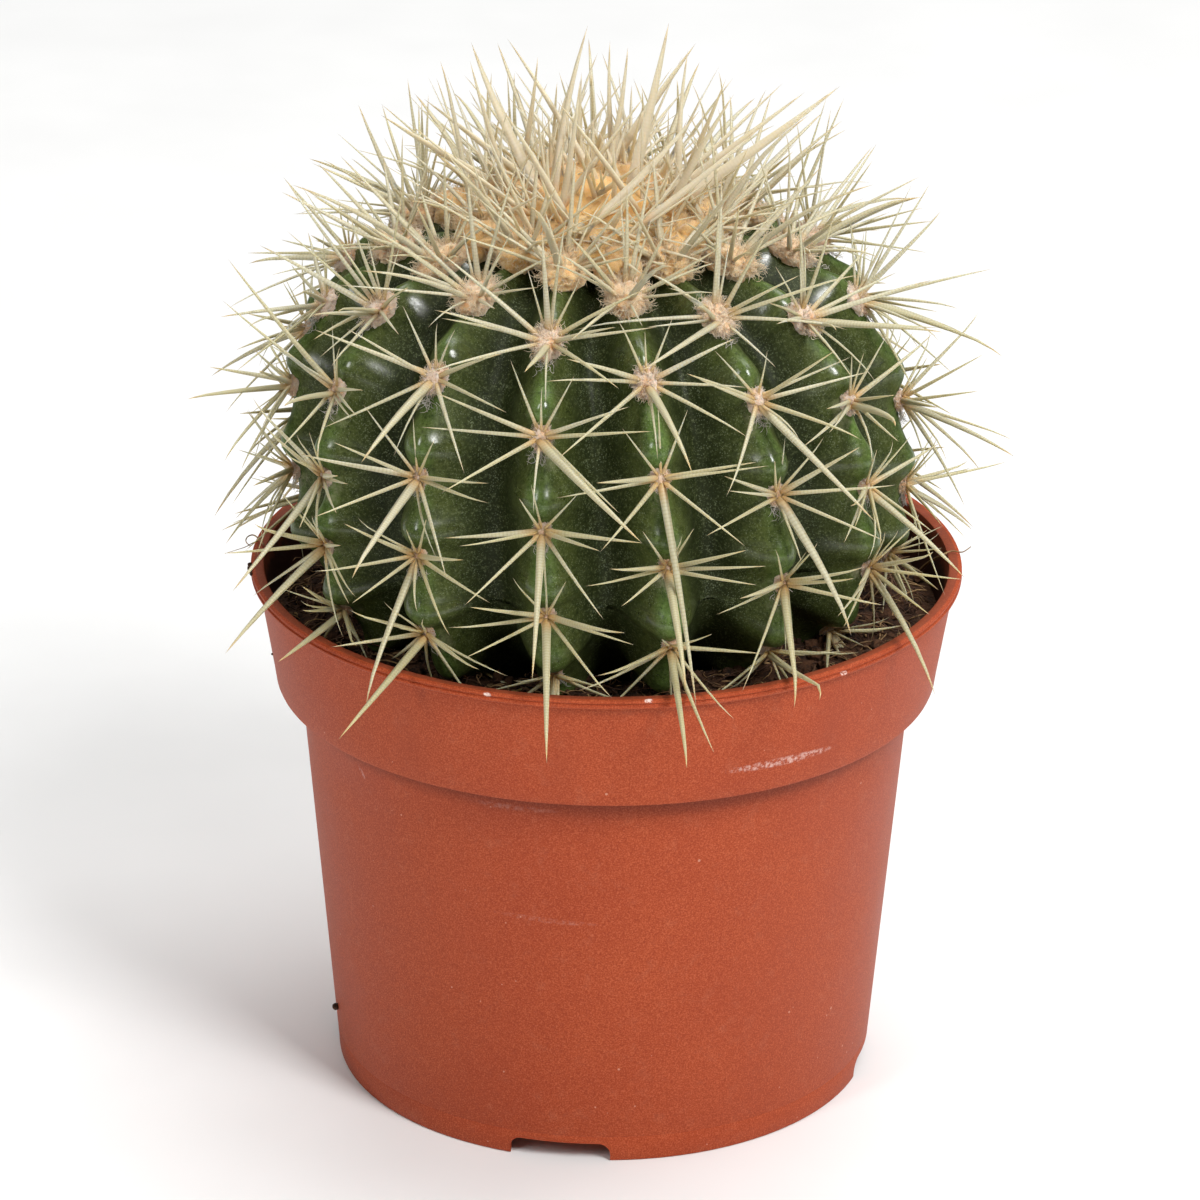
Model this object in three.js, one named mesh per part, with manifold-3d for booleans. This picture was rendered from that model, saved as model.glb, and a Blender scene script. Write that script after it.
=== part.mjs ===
// A round ribbed cactus growing in a moulded nursery pot.
//
// Millimetres, +Z up. The origin is the centre of the pot's foot, on the surface that the pot stands on.
// An azimuth is in degrees seen from above: 0 is towards -Y, the front, and 90 is towards +X.
// A place on the stem is given by its rib and by its distance from the crown, measured along the rib's crest.

import * as THREE from 'three';
import { mergeVertices } from 'three/addons/utils/BufferGeometryUtils.js';
import Module from 'manifold-3d';

const wasm = await Module();
wasm.setup();

// ---------------------------------------------------------------- driving dimensions

// the pot: a 12 cm nursery pot, moulded in one piece
const RIM_RADIUS = 60;
const RIM_HEIGHT = 90.6;
const LIP_HEIGHT = 1.5;
const LIP_PROUD = 1.1;
const COLLAR_DEPTH = 20.5;
const COLLAR_LOW_RADIUS = 55.95;
const BODY_HIGH_RADIUS = 51.84;
const FOOT_RADIUS = 45.9;
const FOOT_WIDTH = 1.5;
const FOOT_DEPTH = 3.6;
const WALL = 1.2;
const POT_EDGE = 0.4;
const POT_SIDES = 40; // the soil's too, so that the two stay the same distance apart
const NOTCH_COUNT = 4;
const NOTCH_AZIMUTH = -9;
const NOTCH_WIDTH = 17;
const NOTCH_HEIGHT = 3.3;
const NOTCH_CORNER = 2;
const DRAIN_COUNT = 6;
const DRAIN_RADIUS = 4;
const DRAIN_CIRCLE = 32;
const CENTRE_DRAIN_RADIUS = 6;
const DRAIN_SIDES = 10;

// the gap between neighbours, and what one of them is cut back by for it: a flat side takes up the rest
const GAP = 0.3;
const CUT_BACK = 0.35;

// the soil, lower at the wall than at the stem, with a ripple
const SOIL_AT_WALL = 81.6;
const SOIL_AT_STEM = 83.2;
const SOIL_RIPPLE = 0.45;
const SOIL_WAVE_X = 0.31;
const SOIL_WAVE_Y = 0.27;
const SOIL_RINGS = [47, 36];

// the stem: a flattened globe, widest above the rim, drawn in towards the soil
const STEM_X = -2.5;
const STEM_Y = -1.5;
const STEM_RADIUS = 51.8;
const STEM_WAIST = 100.3;
const CROWN_RISE = 51.3;
const CROWN_POWER = 3.05;
const BASE_DROP = 31.7;
const BASE_POWER = 1.64;
const RIB_DEPTH_SHARE = 0.155;
const GROOVE_POWER = 0.75; // under 1, so a groove is broad and a crest is narrow
const RIB_TWIST = 0.065; // degrees for each millimetre down the crest
const SIDES_PER_RIB = 4;
const STEM_RINGS = 17;

// each rib's azimuth at the waist, its first areole's distance from the crown, and its areoles' spacing
const RIBS = [
  { azimuth: -56.6, first: 28.5, spacing: 13.7 },
  { azimuth: -31.6, first: 19.1, spacing: 14.7 },
  { azimuth: -7.6, first: 23.9, spacing: 15.1 },
  { azimuth: 14.1, first: 31.0, spacing: 15.2 },
  { azimuth: 36.5, first: 22.3, spacing: 15.0 },
  { azimuth: 60.2, first: 27.0, spacing: 15.0 },
  { azimuth: 87.0, first: 18.9, spacing: 15.2 },
  { azimuth: 111.5, first: 24.8, spacing: 15.0 },
  { azimuth: 134.5, first: 31.0, spacing: 15.0 },
  { azimuth: 159.6, first: 21.9, spacing: 15.0 },
  { azimuth: 182.8, first: 28.2, spacing: 14.8 },
  { azimuth: 207.5, first: 19.2, spacing: 15.0 },
  { azimuth: 230.8, first: 25.2, spacing: 15.0 },
  { azimuth: 255.6, first: 31.2, spacing: 14.6 },
  { azimuth: 279.5, first: 21.6, spacing: 14.8 },
];
const LAST_AREOLE = 103;

// the wool cushion that an areole's spines stand in: half its width, half its length and its height
const WOOL_HALF_WIDTH = 1.9;
const WOOL_HALF_LENGTH = 2.5;
const WOOL_HEIGHT = 2.0;
const WOOL_ROOT = 4;
const WOOL_SIDES = 6;
const WOOL_LAYERS = 3;
const YOUNG_WOOL_GROWTH = 1.1;
const YOUNG_WOOL_ENDS = 65;

// the woolly crown, with the youngest areoles still standing close together
const CROWN_WOOL_RADIUS = 13.8;
const CROWN_WOOL_HEIGHT = 3.4;
const CROWN_WOOL_SIDES = 16;
const CROWN_WOOL_LAYERS = 6;
const CROWN_BUMP_RADIUS = 3.0;
const CROWN_FIRST_BUMP = 6;
const CROWN_LAST_BUMP = 13.4;

// An areole's main spines. turn is measured in the crest's plane from straight down, towards rising azimuths,
// and lift is the angle off the surface.
const SPINE_PLAN = [
  { turn: 0, lift: 40, length: 27, radius: 0.62 },
  { turn: -52, lift: 20, length: 20, radius: 0.5 },
  { turn: 52, lift: 20, length: 20, radius: 0.5 },
  { turn: -100, lift: 22, length: 17, radius: 0.45 },
  { turn: 100, lift: 22, length: 17, radius: 0.45 },
];
const CROWN_SPINE_PLAN = [
  { turn: 0, lift: 74, length: 25, radius: 0.6 },
  { turn: 150, lift: 62, length: 18, radius: 0.5 },
];
const SPINE_FOOT = 0.8; // how far over the skin a spine starts, inside its wool
const SPINE_SIDES = 3;
const STEEPEST_LIFT = 88;
const TURN_JITTER = 8;
const LIFT_JITTER = 5;
const LENGTH_JITTER = 0.11;

// the thin spine that runs straight down from one areole to the next
const LINK_RADIUS = 0.42;
const LINK_FOOT = 0.9;
const LINK_STEPS = 2;

// the spines of some ribs are a little shorter or longer than the rest
const REACH = new Map([[2, 0.93], [5, 1.05], [6, 0.95], [13, 0.82], [14, 0.84]]);

// how clear a spine keeps of its neighbours and of the pot, and the ways that it may be moved for it
const SPINE_CLEARANCE = 0.35;
const POT_CLEARANCE = 1;
const WOOL_SHARE = 0.25; // of a spine's length, the part that may lie close to the skin
const CLEARANCE_SAMPLES = 12;
const LIFT_CHANGES = [-10, -5, 0, 5, 10, 15, 20, 25, 30, 35, 40, 45, 50, 55, 60];
const TURN_CHANGES = [0, -7, 7, -14, 14, -24, 24];
const LENGTH_CHANGES = [1, 0.85, 0.7, 0.55, 0.4];
const LENGTH_COST = 75; // one whole length counts as much as this many degrees

// the roots
const TAPROOT_RADIUS = 10;
const TAPROOT_TOP = 76;
const TAPROOT_LENGTH = 50;
const TAPROOT_SIDES = 12;
const SIDE_ROOTS = 7;
const SIDE_ROOT_RADIUS = 1.9;
const SIDE_ROOT_LENGTH = 33;
const SIDE_ROOT_SIDES = 7;
const SIDE_ROOT_TIERS = 3;
const FIRST_TIER_DROP = 11;
const TIER_DROP = 4;
const SIDE_ROOT_DIP = 0.55;
const ROOT_JITTER = 0.25;

// the gaps between stem and pot that water is poured into: each is kept clear of spines
const WATERING_GAPS = [
  { low: [-1.7, -55.4, 83.9], high: [4.3, -45.5, 91.6] },
  { low: [43.5, -0.6, 83.9], high: [54.6, 11.4, 91.6] },
  { low: [-15.6, 44.0, 83.9], high: [-7.8, 53.2, 91.6] },
  { low: [-54.9, -4.9, 83.9], high: [-48.5, 5.3, 91.6] },
];

// ---------------------------------------------------------------- solids

const SAME_POINT = 1e-3; // points nearer than this are one
const CUT_BEYOND = 1; // a cutter runs this far past what it cuts

// A closed geometry as positions alone, with the points along its seams merged.
function withoutSeams(geometry) {
  const bare = geometry.clone();
  bare.deleteAttribute('normal');
  bare.deleteAttribute('uv');
  return mergeVertices(bare, SAME_POINT);
}

// A closed geometry as a solid that can be cut and joined.
function solidFrom(geometry) {
  const closed = withoutSeams(geometry);
  return new wasm.Manifold(new wasm.Mesh({
    numProp: 3,
    vertProperties: closed.attributes.position.array,
    triVerts: new Uint32Array(closed.index.array),
  }));
}

function geometryFrom(solid) {
  const mesh = solid.getMesh();
  const geometry = new THREE.BufferGeometry();
  geometry.setAttribute('position', new THREE.BufferAttribute(mesh.vertProperties, 3));
  geometry.setIndex(new THREE.BufferAttribute(mesh.triVerts, 1));
  geometry.computeVertexNormals();
  return geometry;
}

// The largest body of a solid: a cut can leave a crumb of a spine behind.
function largestBody(solid) {
  return solid.decompose().reduce((best, body) => (body.volume() > best.volume() ? body : best));
}

// A profile of radius and height pairs, turned about +Z.
function turned(profile, sides) {
  const points = profile.map(([radius, height]) => new THREE.Vector2(radius, height));
  return new THREE.LatheGeometry(points, sides).rotateX(Math.PI / 2);
}

function radians(degrees) {
  return THREE.MathUtils.degToRad(degrees);
}

// The unit vector that points away from the axis at an azimuth.
function outwardAt(azimuth) {
  return new THREE.Vector3(Math.sin(radians(azimuth)), -Math.cos(radians(azimuth)), 0);
}

// A number from -1 to 1 that is the same each time for the same seed, a whole number.
function wobble(seed) {
  return 2 * THREE.MathUtils.seededRandom(seed) - 1;
}

// ---------------------------------------------------------------- pot

const COLLAR_LOW = RIM_HEIGHT - COLLAR_DEPTH;
const COLLAR_HIGH_RADIUS = RIM_RADIUS - LIP_PROUD;
const BASE_TOP = FOOT_DEPTH + WALL;

function bodyRadius(height) {
  return THREE.MathUtils.mapLinear(height, 0, COLLAR_LOW, FOOT_RADIUS, BODY_HIGH_RADIUS);
}

// The pot's inside, from its base to a height in the collar, drawn in by the margin that the soil keeps.
function insideProfile(top, margin) {
  const inset = WALL + margin;
  const ledge = COLLAR_LOW + WALL;
  const topRadius = THREE.MathUtils.mapLinear(top, ledge, RIM_HEIGHT, COLLAR_LOW_RADIUS, COLLAR_HIGH_RADIUS);
  return [
    [bodyRadius(BASE_TOP) - inset, BASE_TOP + margin],
    [bodyRadius(COLLAR_LOW) - inset, ledge + margin],
    [COLLAR_LOW_RADIUS - inset, ledge + margin],
    [topRadius - inset, top],
  ];
}

function potShell() {
  const lipLow = RIM_HEIGHT - LIP_HEIGHT;
  const outside = [
    [0, FOOT_DEPTH],
    [FOOT_RADIUS - FOOT_WIDTH, FOOT_DEPTH],
    [FOOT_RADIUS - FOOT_WIDTH, 0],
    [FOOT_RADIUS - POT_EDGE, 0],
    [FOOT_RADIUS, POT_EDGE],
    [BODY_HIGH_RADIUS, COLLAR_LOW],
    [COLLAR_LOW_RADIUS - POT_EDGE, COLLAR_LOW],
    [COLLAR_LOW_RADIUS, COLLAR_LOW + POT_EDGE],
    [COLLAR_HIGH_RADIUS, lipLow],
    [RIM_RADIUS - POT_EDGE, lipLow],
    [RIM_RADIUS, lipLow + POT_EDGE],
    [RIM_RADIUS, RIM_HEIGHT - POT_EDGE],
    [RIM_RADIUS - POT_EDGE, RIM_HEIGHT],
  ];
  const inside = insideProfile(RIM_HEIGHT, 0).reverse();
  return solidFrom(turned([...outside, ...inside, [0, BASE_TOP]], POT_SIDES));
}

// A bar with its two upper corners rounded, from under the base out through the foot.
function notchCutter(azimuth) {
  const half = NOTCH_WIDTH / 2;
  const shoulder = NOTCH_HEIGHT - NOTCH_CORNER;
  const outline = new THREE.Shape();
  outline.moveTo(-half, -CUT_BEYOND);
  outline.lineTo(half, -CUT_BEYOND);
  outline.lineTo(half, shoulder);
  outline.absarc(half - NOTCH_CORNER, shoulder, NOTCH_CORNER, 0, Math.PI / 2);
  outline.absarc(NOTCH_CORNER - half, shoulder, NOTCH_CORNER, Math.PI / 2, Math.PI);
  const start = FOOT_RADIUS / 2;
  const depth = FOOT_RADIUS - start + CUT_BEYOND;
  const bar = new THREE.ExtrudeGeometry(outline, { depth, bevelEnabled: false, curveSegments: 3 });
  bar.rotateX(Math.PI / 2);
  bar.translate(0, -start, 0);
  bar.rotateZ(radians(azimuth));
  return solidFrom(bar);
}

function drainCutter(radius, azimuth, circle) {
  const length = WALL + 2 * CUT_BEYOND;
  const plug = new THREE.CylinderGeometry(radius, radius, length, DRAIN_SIDES).rotateX(Math.PI / 2);
  const centre = outwardAt(azimuth).multiplyScalar(circle);
  plug.translate(centre.x, centre.y, FOOT_DEPTH + WALL / 2);
  return solidFrom(plug);
}

function pot() {
  let solid = potShell();
  for (let i = 0; i < NOTCH_COUNT; i++) {
    solid = solid.subtract(notchCutter(NOTCH_AZIMUTH + (360 / NOTCH_COUNT) * i));
  }
  for (let i = 0; i < DRAIN_COUNT; i++) {
    solid = solid.subtract(drainCutter(DRAIN_RADIUS, (360 / DRAIN_COUNT) * (i + 0.5), DRAIN_CIRCLE));
  }
  return solid.subtract(drainCutter(CENTRE_DRAIN_RADIUS, 0, 0));
}

// ---------------------------------------------------------------- stem

// The crest's outline in a plane through the stem's axis: radius and height where the outline is at an angle
// from the crown, as a pair of superellipses that meet at the waist.
function outlineAt(angle) {
  const upper = Math.cos(angle) >= 0;
  const power = 2 / (upper ? CROWN_POWER : BASE_POWER);
  const reach = upper ? CROWN_RISE : -BASE_DROP;
  return {
    radius: STEM_RADIUS * Math.abs(Math.sin(angle)) ** power,
    height: STEM_WAIST + reach * Math.abs(Math.cos(angle)) ** power,
  };
}

// The same outline walked in small steps, so that it can be read by distance along the crest.
const OUTLINE_STEPS = 2000;
const walk = [{ ...outlineAt(0), distance: 0 }];
for (let i = 1; i <= OUTLINE_STEPS; i++) {
  const here = outlineAt((Math.PI * i) / OUTLINE_STEPS);
  const last = walk[i - 1];
  const step = Math.hypot(here.radius - last.radius, here.height - last.height);
  walk.push({ ...here, distance: last.distance + step });
}
const CREST_LENGTH = walk[OUTLINE_STEPS].distance;
const WAIST_DISTANCE = walk[OUTLINE_STEPS / 2].distance;

function crestAt(distance) {
  const after = Math.max(1, walk.findIndex((point) => point.distance >= distance));
  const next = walk[distance >= CREST_LENGTH ? OUTLINE_STEPS : after];
  const last = walk[distance >= CREST_LENGTH ? OUTLINE_STEPS - 1 : after - 1];
  const span = next.distance - last.distance;
  const share = (Math.min(distance, CREST_LENGTH) - last.distance) / span;
  return {
    radius: THREE.MathUtils.lerp(last.radius, next.radius, share),
    height: THREE.MathUtils.lerp(last.height, next.height, share),
    outward: (last.height - next.height) / span,
    upward: (next.radius - last.radius) / span,
  };
}

function ribAzimuth(rib, distance) {
  const turns = Math.floor(rib / RIBS.length);
  const azimuth = RIBS[rib - turns * RIBS.length].azimuth + 360 * turns;
  return azimuth + RIB_TWIST * (distance - WAIST_DISTANCE);
}

// A point of the stem's skin. rib is a whole number on a crest, and halfway between two of them in a groove.
function skinPoint(rib, distance) {
  const crest = crestAt(distance);
  const low = Math.floor(rib);
  const share = rib - low;
  const azimuth = THREE.MathUtils.lerp(ribAzimuth(low, distance), ribAzimuth(low + 1, distance), share);
  const groove = (0.5 - 0.5 * Math.cos(2 * Math.PI * share)) ** GROOVE_POWER;
  const depth = RIB_DEPTH_SHARE * crest.radius * groove;
  const point = outwardAt(azimuth).multiplyScalar(crest.radius - depth * crest.outward);
  point.z = crest.height - depth * crest.upward;
  return point.add(new THREE.Vector3(STEM_X, STEM_Y, 0));
}

// A place on a crest, with the directions out of the skin, down the crest and across it.
function crestFrame(rib, distance) {
  const crest = crestAt(distance);
  const radial = outwardAt(ribAzimuth(rib, distance));
  const out = radial.clone().multiplyScalar(crest.outward).setZ(crest.upward);
  const down = radial.clone().multiplyScalar(crest.upward).setZ(-crest.outward);
  return { point: skinPoint(rib, distance), out, down, across: new THREE.Vector3().crossVectors(out, down) };
}

// The ribbed stem. swell moves its skin outwards, for cutting a neighbour back from it.
function stem(swell) {
  const ball = new THREE.SphereGeometry(1, RIBS.length * SIDES_PER_RIB, STEM_RINGS);
  const uv = ball.attributes.uv;
  const position = ball.attributes.position;
  for (let i = 0; i < position.count; i++) {
    const point = skinPoint(uv.getX(i) * RIBS.length, (1 - uv.getY(i)) * CREST_LENGTH);
    position.setXYZ(i, point.x, point.y, point.z);
  }
  const skin = withoutSeams(ball);
  skin.computeVertexNormals();
  const normal = skin.attributes.normal;
  for (let i = 0; i < normal.count; i++) {
    const moved = new THREE.Vector3().fromBufferAttribute(skin.attributes.position, i);
    moved.addScaledVector(new THREE.Vector3().fromBufferAttribute(normal, i), swell);
    skin.attributes.position.setXYZ(i, moved.x, moved.y, moved.z);
  }
  return solidFrom(skin);
}

// How far a point lies outside the stem's crests, along the line from the stem's middle.
function heightOverCrests(point) {
  const radius = Math.hypot(point.x - STEM_X, point.y - STEM_Y);
  const rise = point.z - STEM_WAIST;
  const power = rise >= 0 ? CROWN_POWER : BASE_POWER;
  const reach = rise >= 0 ? CROWN_RISE : BASE_DROP;
  const sum = (radius / STEM_RADIUS) ** power + (Math.abs(rise) / reach) ** power;
  return Math.hypot(radius, rise) * (1 - sum ** (-1 / power));
}

// ---------------------------------------------------------------- soil and roots

function soilHeight(x, y) {
  const out = Math.hypot(x, y) / RIM_RADIUS;
  const ripple = SOIL_RIPPLE * Math.sin(SOIL_WAVE_X * x) * Math.cos(SOIL_WAVE_Y * y);
  return THREE.MathUtils.lerp(SOIL_AT_STEM, SOIL_AT_WALL, out * out) + ripple;
}

function soil(stemCutter, rootCutter) {
  const side = insideProfile(SOIL_AT_WALL, GAP);
  const top = SOIL_RINGS.map((radius) => [radius, SOIL_AT_WALL]);
  const geometry = turned([[0, BASE_TOP + GAP], ...side, ...top, [0, SOIL_AT_WALL]], POT_SIDES);
  const position = geometry.attributes.position;
  for (let i = 0; i < position.count; i++) {
    if (position.getZ(i) > SOIL_AT_WALL - SAME_POINT) {
      position.setZ(i, soilHeight(position.getX(i), position.getY(i)));
    }
  }
  return largestBody(solidFrom(geometry).subtract(stemCutter).subtract(rootCutter));
}

// A tapering root from its thick end. It is swollen in proportion, so that it keeps its shape.
function root(start, direction, length, radius, sides, swell) {
  const scale = 1 + swell / radius;
  return needle(start, direction, length * scale, radius * scale, sides);
}

// A taproot under the stem, with side roots that spread and dip. swell thickens them all.
function roots(swell) {
  const top = new THREE.Vector3(STEM_X, STEM_Y, TAPROOT_TOP);
  const down = new THREE.Vector3(0, 0, -1);
  let solid = root(top, down, TAPROOT_LENGTH, TAPROOT_RADIUS, TAPROOT_SIDES, swell);
  for (let i = 0; i < SIDE_ROOTS; i++) {
    const azimuth = (360 / SIDE_ROOTS) * (i + ROOT_JITTER * wobble(i));
    const dip = SIDE_ROOT_DIP + ROOT_JITTER * wobble(i + SIDE_ROOTS);
    const length = SIDE_ROOT_LENGTH * (1 + ROOT_JITTER * wobble(i + 2 * SIDE_ROOTS));
    const drop = FIRST_TIER_DROP + TIER_DROP * (i % SIDE_ROOT_TIERS);
    const start = top.clone().addScaledVector(down, drop);
    const direction = outwardAt(azimuth).addScaledVector(down, dip).normalize();
    solid = solid.add(root(start, direction, length, SIDE_ROOT_RADIUS, SIDE_ROOT_SIDES, swell));
  }
  return solid;
}

// ---------------------------------------------------------------- wool and spines

// A cone that starts at its thick end.
function coneFrom(start, direction, length, radius, sides, steps) {
  const cone = new THREE.ConeGeometry(radius, length, sides, steps).translate(0, length / 2, 0);
  cone.applyQuaternion(new THREE.Quaternion().setFromUnitVectors(new THREE.Vector3(0, 1, 0), direction));
  return cone.translate(start.x, start.y, start.z);
}

function needle(start, direction, length, radius, sides) {
  return solidFrom(coneFrom(start, direction, length, radius, sides, 1));
}

// How much larger an areole's wool is near the crown than low on the stem.
function woolGrowth(distance) {
  return 1 + YOUNG_WOOL_GROWTH * Math.max(0, 1 - distance / YOUNG_WOOL_ENDS);
}

// A cap of wool over a place on the stem, with a deep root that is cut back from the skin later.
function woolCap(frame, halfWidth, halfLength, height, sides, layers) {
  const ball = new THREE.SphereGeometry(1, sides, layers).rotateX(Math.PI / 2);
  const position = ball.attributes.position;
  for (let i = 0; i < position.count; i++) {
    const rise = position.getZ(i) * (position.getZ(i) > 0 ? height : WOOL_ROOT);
    position.setXYZ(i, position.getX(i) * halfLength, position.getY(i) * halfWidth, rise);
  }
  ball.applyMatrix4(new THREE.Matrix4().makeBasis(frame.down, frame.across, frame.out));
  return solidFrom(ball.translate(frame.point.x, frame.point.y, frame.point.z));
}

function woolCushion(frame, growth) {
  const [halfWidth, halfLength, height] = [WOOL_HALF_WIDTH, WOOL_HALF_LENGTH, WOOL_HEIGHT].map(
    (size) => size * growth,
  );
  return woolCap(frame, halfWidth, halfLength, height, WOOL_SIDES, WOOL_LAYERS);
}

// The thin spine that points straight down its crest from one areole and ends in the wool of the next.
// It is bowed outwards, so that it rides over the crest between them.
function linkNeedle(from, to, middle) {
  const start = from.point.clone().addScaledVector(from.out, LINK_FOOT);
  const end = to.point.clone().addScaledVector(to.out, LINK_FOOT);
  const over = middle.point.clone().addScaledVector(middle.out, LINK_FOOT + 2 * LINK_RADIUS);
  const bow = over.sub(start.clone().lerp(end, 0.5)).dot(middle.out);
  const length = start.distanceTo(end);
  const along = end.clone().sub(start).normalize();
  const cone = coneFrom(start, along, length, LINK_RADIUS, SPINE_SIDES, LINK_STEPS);
  const position = cone.attributes.position;
  for (let i = 0; i < position.count; i++) {
    const point = new THREE.Vector3().fromBufferAttribute(position, i);
    const share = THREE.MathUtils.clamp(point.clone().sub(start).dot(along) / length, 0, 1);
    point.addScaledVector(middle.out, 4 * bow * share * (1 - share));
    position.setXYZ(i, point.x, point.y, point.z);
  }
  return solidFrom(cone);
}

function spineDirection(frame, turn, lift) {
  const flat = Math.cos(radians(lift));
  return new THREE.Vector3()
    .addScaledVector(frame.down, flat * Math.cos(radians(turn)))
    .addScaledVector(frame.across, flat * Math.sin(radians(turn)))
    .addScaledVector(frame.out, Math.sin(radians(lift)));
}

// The areoles of every rib, and the crown's own young areoles. owner is the body that an areole belongs to,
// and each of its spines has a seed of its own.
const SEEDS_PER_AREOLE = 20;
const SEEDS_PER_RIB = 200;
const CROWN = 'crown';
const areoles = RIBS.map(({ first, spacing }, rib) => {
  const row = [];
  for (let distance = first; distance <= LAST_AREOLE; distance += spacing) {
    const seed = SEEDS_PER_RIB * rib + SEEDS_PER_AREOLE * row.length;
    row.push({ owner: rib, seed, distance, frame: crestFrame(rib, distance), growth: woolGrowth(distance) });
  }
  return row;
});
const crownAreoles = RIBS.map(({ first, spacing }, rib) => {
  const distance = THREE.MathUtils.clamp(first - spacing, CROWN_FIRST_BUMP, CROWN_LAST_BUMP);
  const seed = SEEDS_PER_RIB * (rib + 1) - SEEDS_PER_AREOLE;
  return { owner: CROWN, seed, frame: crestFrame(rib, distance) };
});

// What a spine has to keep clear of, besides its own body: the other spines and cushions.
const placed = [];
const cushions = areoles.flat().map(({ owner, frame, growth }) => (
  { owner, centre: frame.point, radius: WOOL_HALF_LENGTH * growth }
));

// The shortest distance between two straight stretches.
function stretchDistance(a, b) {
  const u = a.end.clone().sub(a.start);
  const v = b.end.clone().sub(b.start);
  const w = a.start.clone().sub(b.start);
  const [uu, uv, vv, uw, vw] = [u.dot(u), u.dot(v), v.dot(v), u.dot(w), v.dot(w)];
  const cross = uu * vv - uv * uv;
  let s = cross > 0 ? THREE.MathUtils.clamp((uv * vw - vv * uw) / cross, 0, 1) : 0;
  const t = THREE.MathUtils.clamp((uv * s + vw) / vv, 0, 1);
  s = THREE.MathUtils.clamp((uv * t - uw) / uu, 0, 1);
  return w.addScaledVector(u, s).addScaledVector(v, -t).length();
}

function meetsPot(point) {
  const radius = Math.hypot(point.x, point.y);
  const overWall = radius > COLLAR_LOW_RADIUS - WALL - POT_CLEARANCE && radius < RIM_RADIUS + POT_CLEARANCE;
  const floor = overWall ? RIM_HEIGHT : soilHeight(point.x, point.y);
  return radius < RIM_RADIUS + POT_CLEARANCE && point.z < floor + POT_CLEARANCE;
}

function meetsWateringGap(point) {
  return WATERING_GAPS.some(({ low, high }) => point.toArray().every((value, axis) => (
    value > low[axis] - POT_CLEARANCE && value < high[axis] + POT_CLEARANCE
  )));
}

function meetsStem(point, radius) {
  return heightOverCrests(point) < radius + GAP;
}

function isClear({ start, end, owner, radius }) {
  for (let i = 0; i <= CLEARANCE_SAMPLES; i++) {
    const share = i / CLEARANCE_SAMPLES;
    const point = start.clone().lerp(end, share);
    if (meetsPot(point) || meetsWateringGap(point)) return false;
    if (share > WOOL_SHARE && meetsStem(point, radius)) return false;
  }
  const line = new THREE.Line3(start, end);
  const meetsWool = cushions.some((wool) => {
    const nearest = line.closestPointToPoint(wool.centre, true, new THREE.Vector3());
    const reach = wool.radius + radius + SPINE_CLEARANCE;
    return wool.owner !== owner && nearest.distanceTo(wool.centre) < reach;
  });
  const meetsSpine = placed.some((other) => {
    const reach = other.radius + radius + SPINE_CLEARANCE;
    return other.owner !== owner && stretchDistance({ start, end }, other) < reach;
  });
  return !meetsWool && !meetsSpine;
}

// The ways to move a spine, those that change it least first.
const changes = LIFT_CHANGES.flatMap((lift) => TURN_CHANGES.flatMap((turn) => LENGTH_CHANGES.map((length) => (
  { lift, turn, length, cost: Math.abs(lift) + Math.abs(turn) + LENGTH_COST * (1 - length) }
))));
changes.sort((a, b) => a.cost - b.cost);

// A spine of the plan, moved as little as clears its neighbours, or null where nothing does.
function placeSpine({ frame, owner }, plan, seed) {
  const turn = plan.turn + TURN_JITTER * wobble(seed);
  const lift = plan.lift + LIFT_JITTER * wobble(seed + 1);
  const fullLength = plan.length * (1 + LENGTH_JITTER * wobble(seed + 2)) * (REACH.get(owner) ?? 1);
  const start = frame.point.clone().addScaledVector(frame.out, SPINE_FOOT);
  for (const change of changes) {
    const steepness = Math.min(STEEPEST_LIFT, lift + change.lift);
    const direction = spineDirection(frame, turn + change.turn, steepness);
    const length = fullLength * change.length;
    const end = start.clone().addScaledVector(direction, length);
    const spine = { start, end, owner, radius: plan.radius };
    if (isClear(spine)) {
      placed.push(spine);
      return needle(start, direction, length, plan.radius, SPINE_SIDES);
    }
  }
  return null;
}

const SEEDS_PER_SPINE = 3;
function spineCluster(areole, plans) {
  return plans
    .map((plan, i) => placeSpine(areole, plan, areole.seed + SEEDS_PER_SPINE * i))
    .filter((spine) => spine !== null);
}

// A rib's areoles, each a cushion of wool with its main spines, joined into one body down the crest by the
// thin spines that point straight down it.
function spineRow(row, stemCutter) {
  const pieces = [];
  row.forEach((areole, index) => {
    pieces.push(woolCushion(areole.frame, areole.growth), ...spineCluster(areole, SPINE_PLAN));
    const next = row[index + 1];
    if (next) {
      const middle = crestFrame(areole.owner, (areole.distance + next.distance) / 2);
      pieces.push(linkNeedle(areole.frame, next.frame, middle));
    }
  });
  return largestBody(wasm.Manifold.union(pieces).subtract(stemCutter));
}

// The crown: a low dome of wool, the youngest areoles' cushions round it, and the upright young spines.
function crown(stemCutter) {
  const middle = crestFrame(0, 0);
  const radius = CROWN_WOOL_RADIUS;
  const dome = woolCap(middle, radius, radius, CROWN_WOOL_HEIGHT, CROWN_WOOL_SIDES, CROWN_WOOL_LAYERS);
  const pieces = [dome];
  crownAreoles.forEach((areole) => {
    pieces.push(woolCushion(areole.frame, CROWN_BUMP_RADIUS / WOOL_HALF_LENGTH));
    pieces.push(...spineCluster(areole, CROWN_SPINE_PLAN));
  });
  return largestBody(wasm.Manifold.union(pieces).subtract(stemCutter));
}

// ---------------------------------------------------------------- assembly

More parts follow.
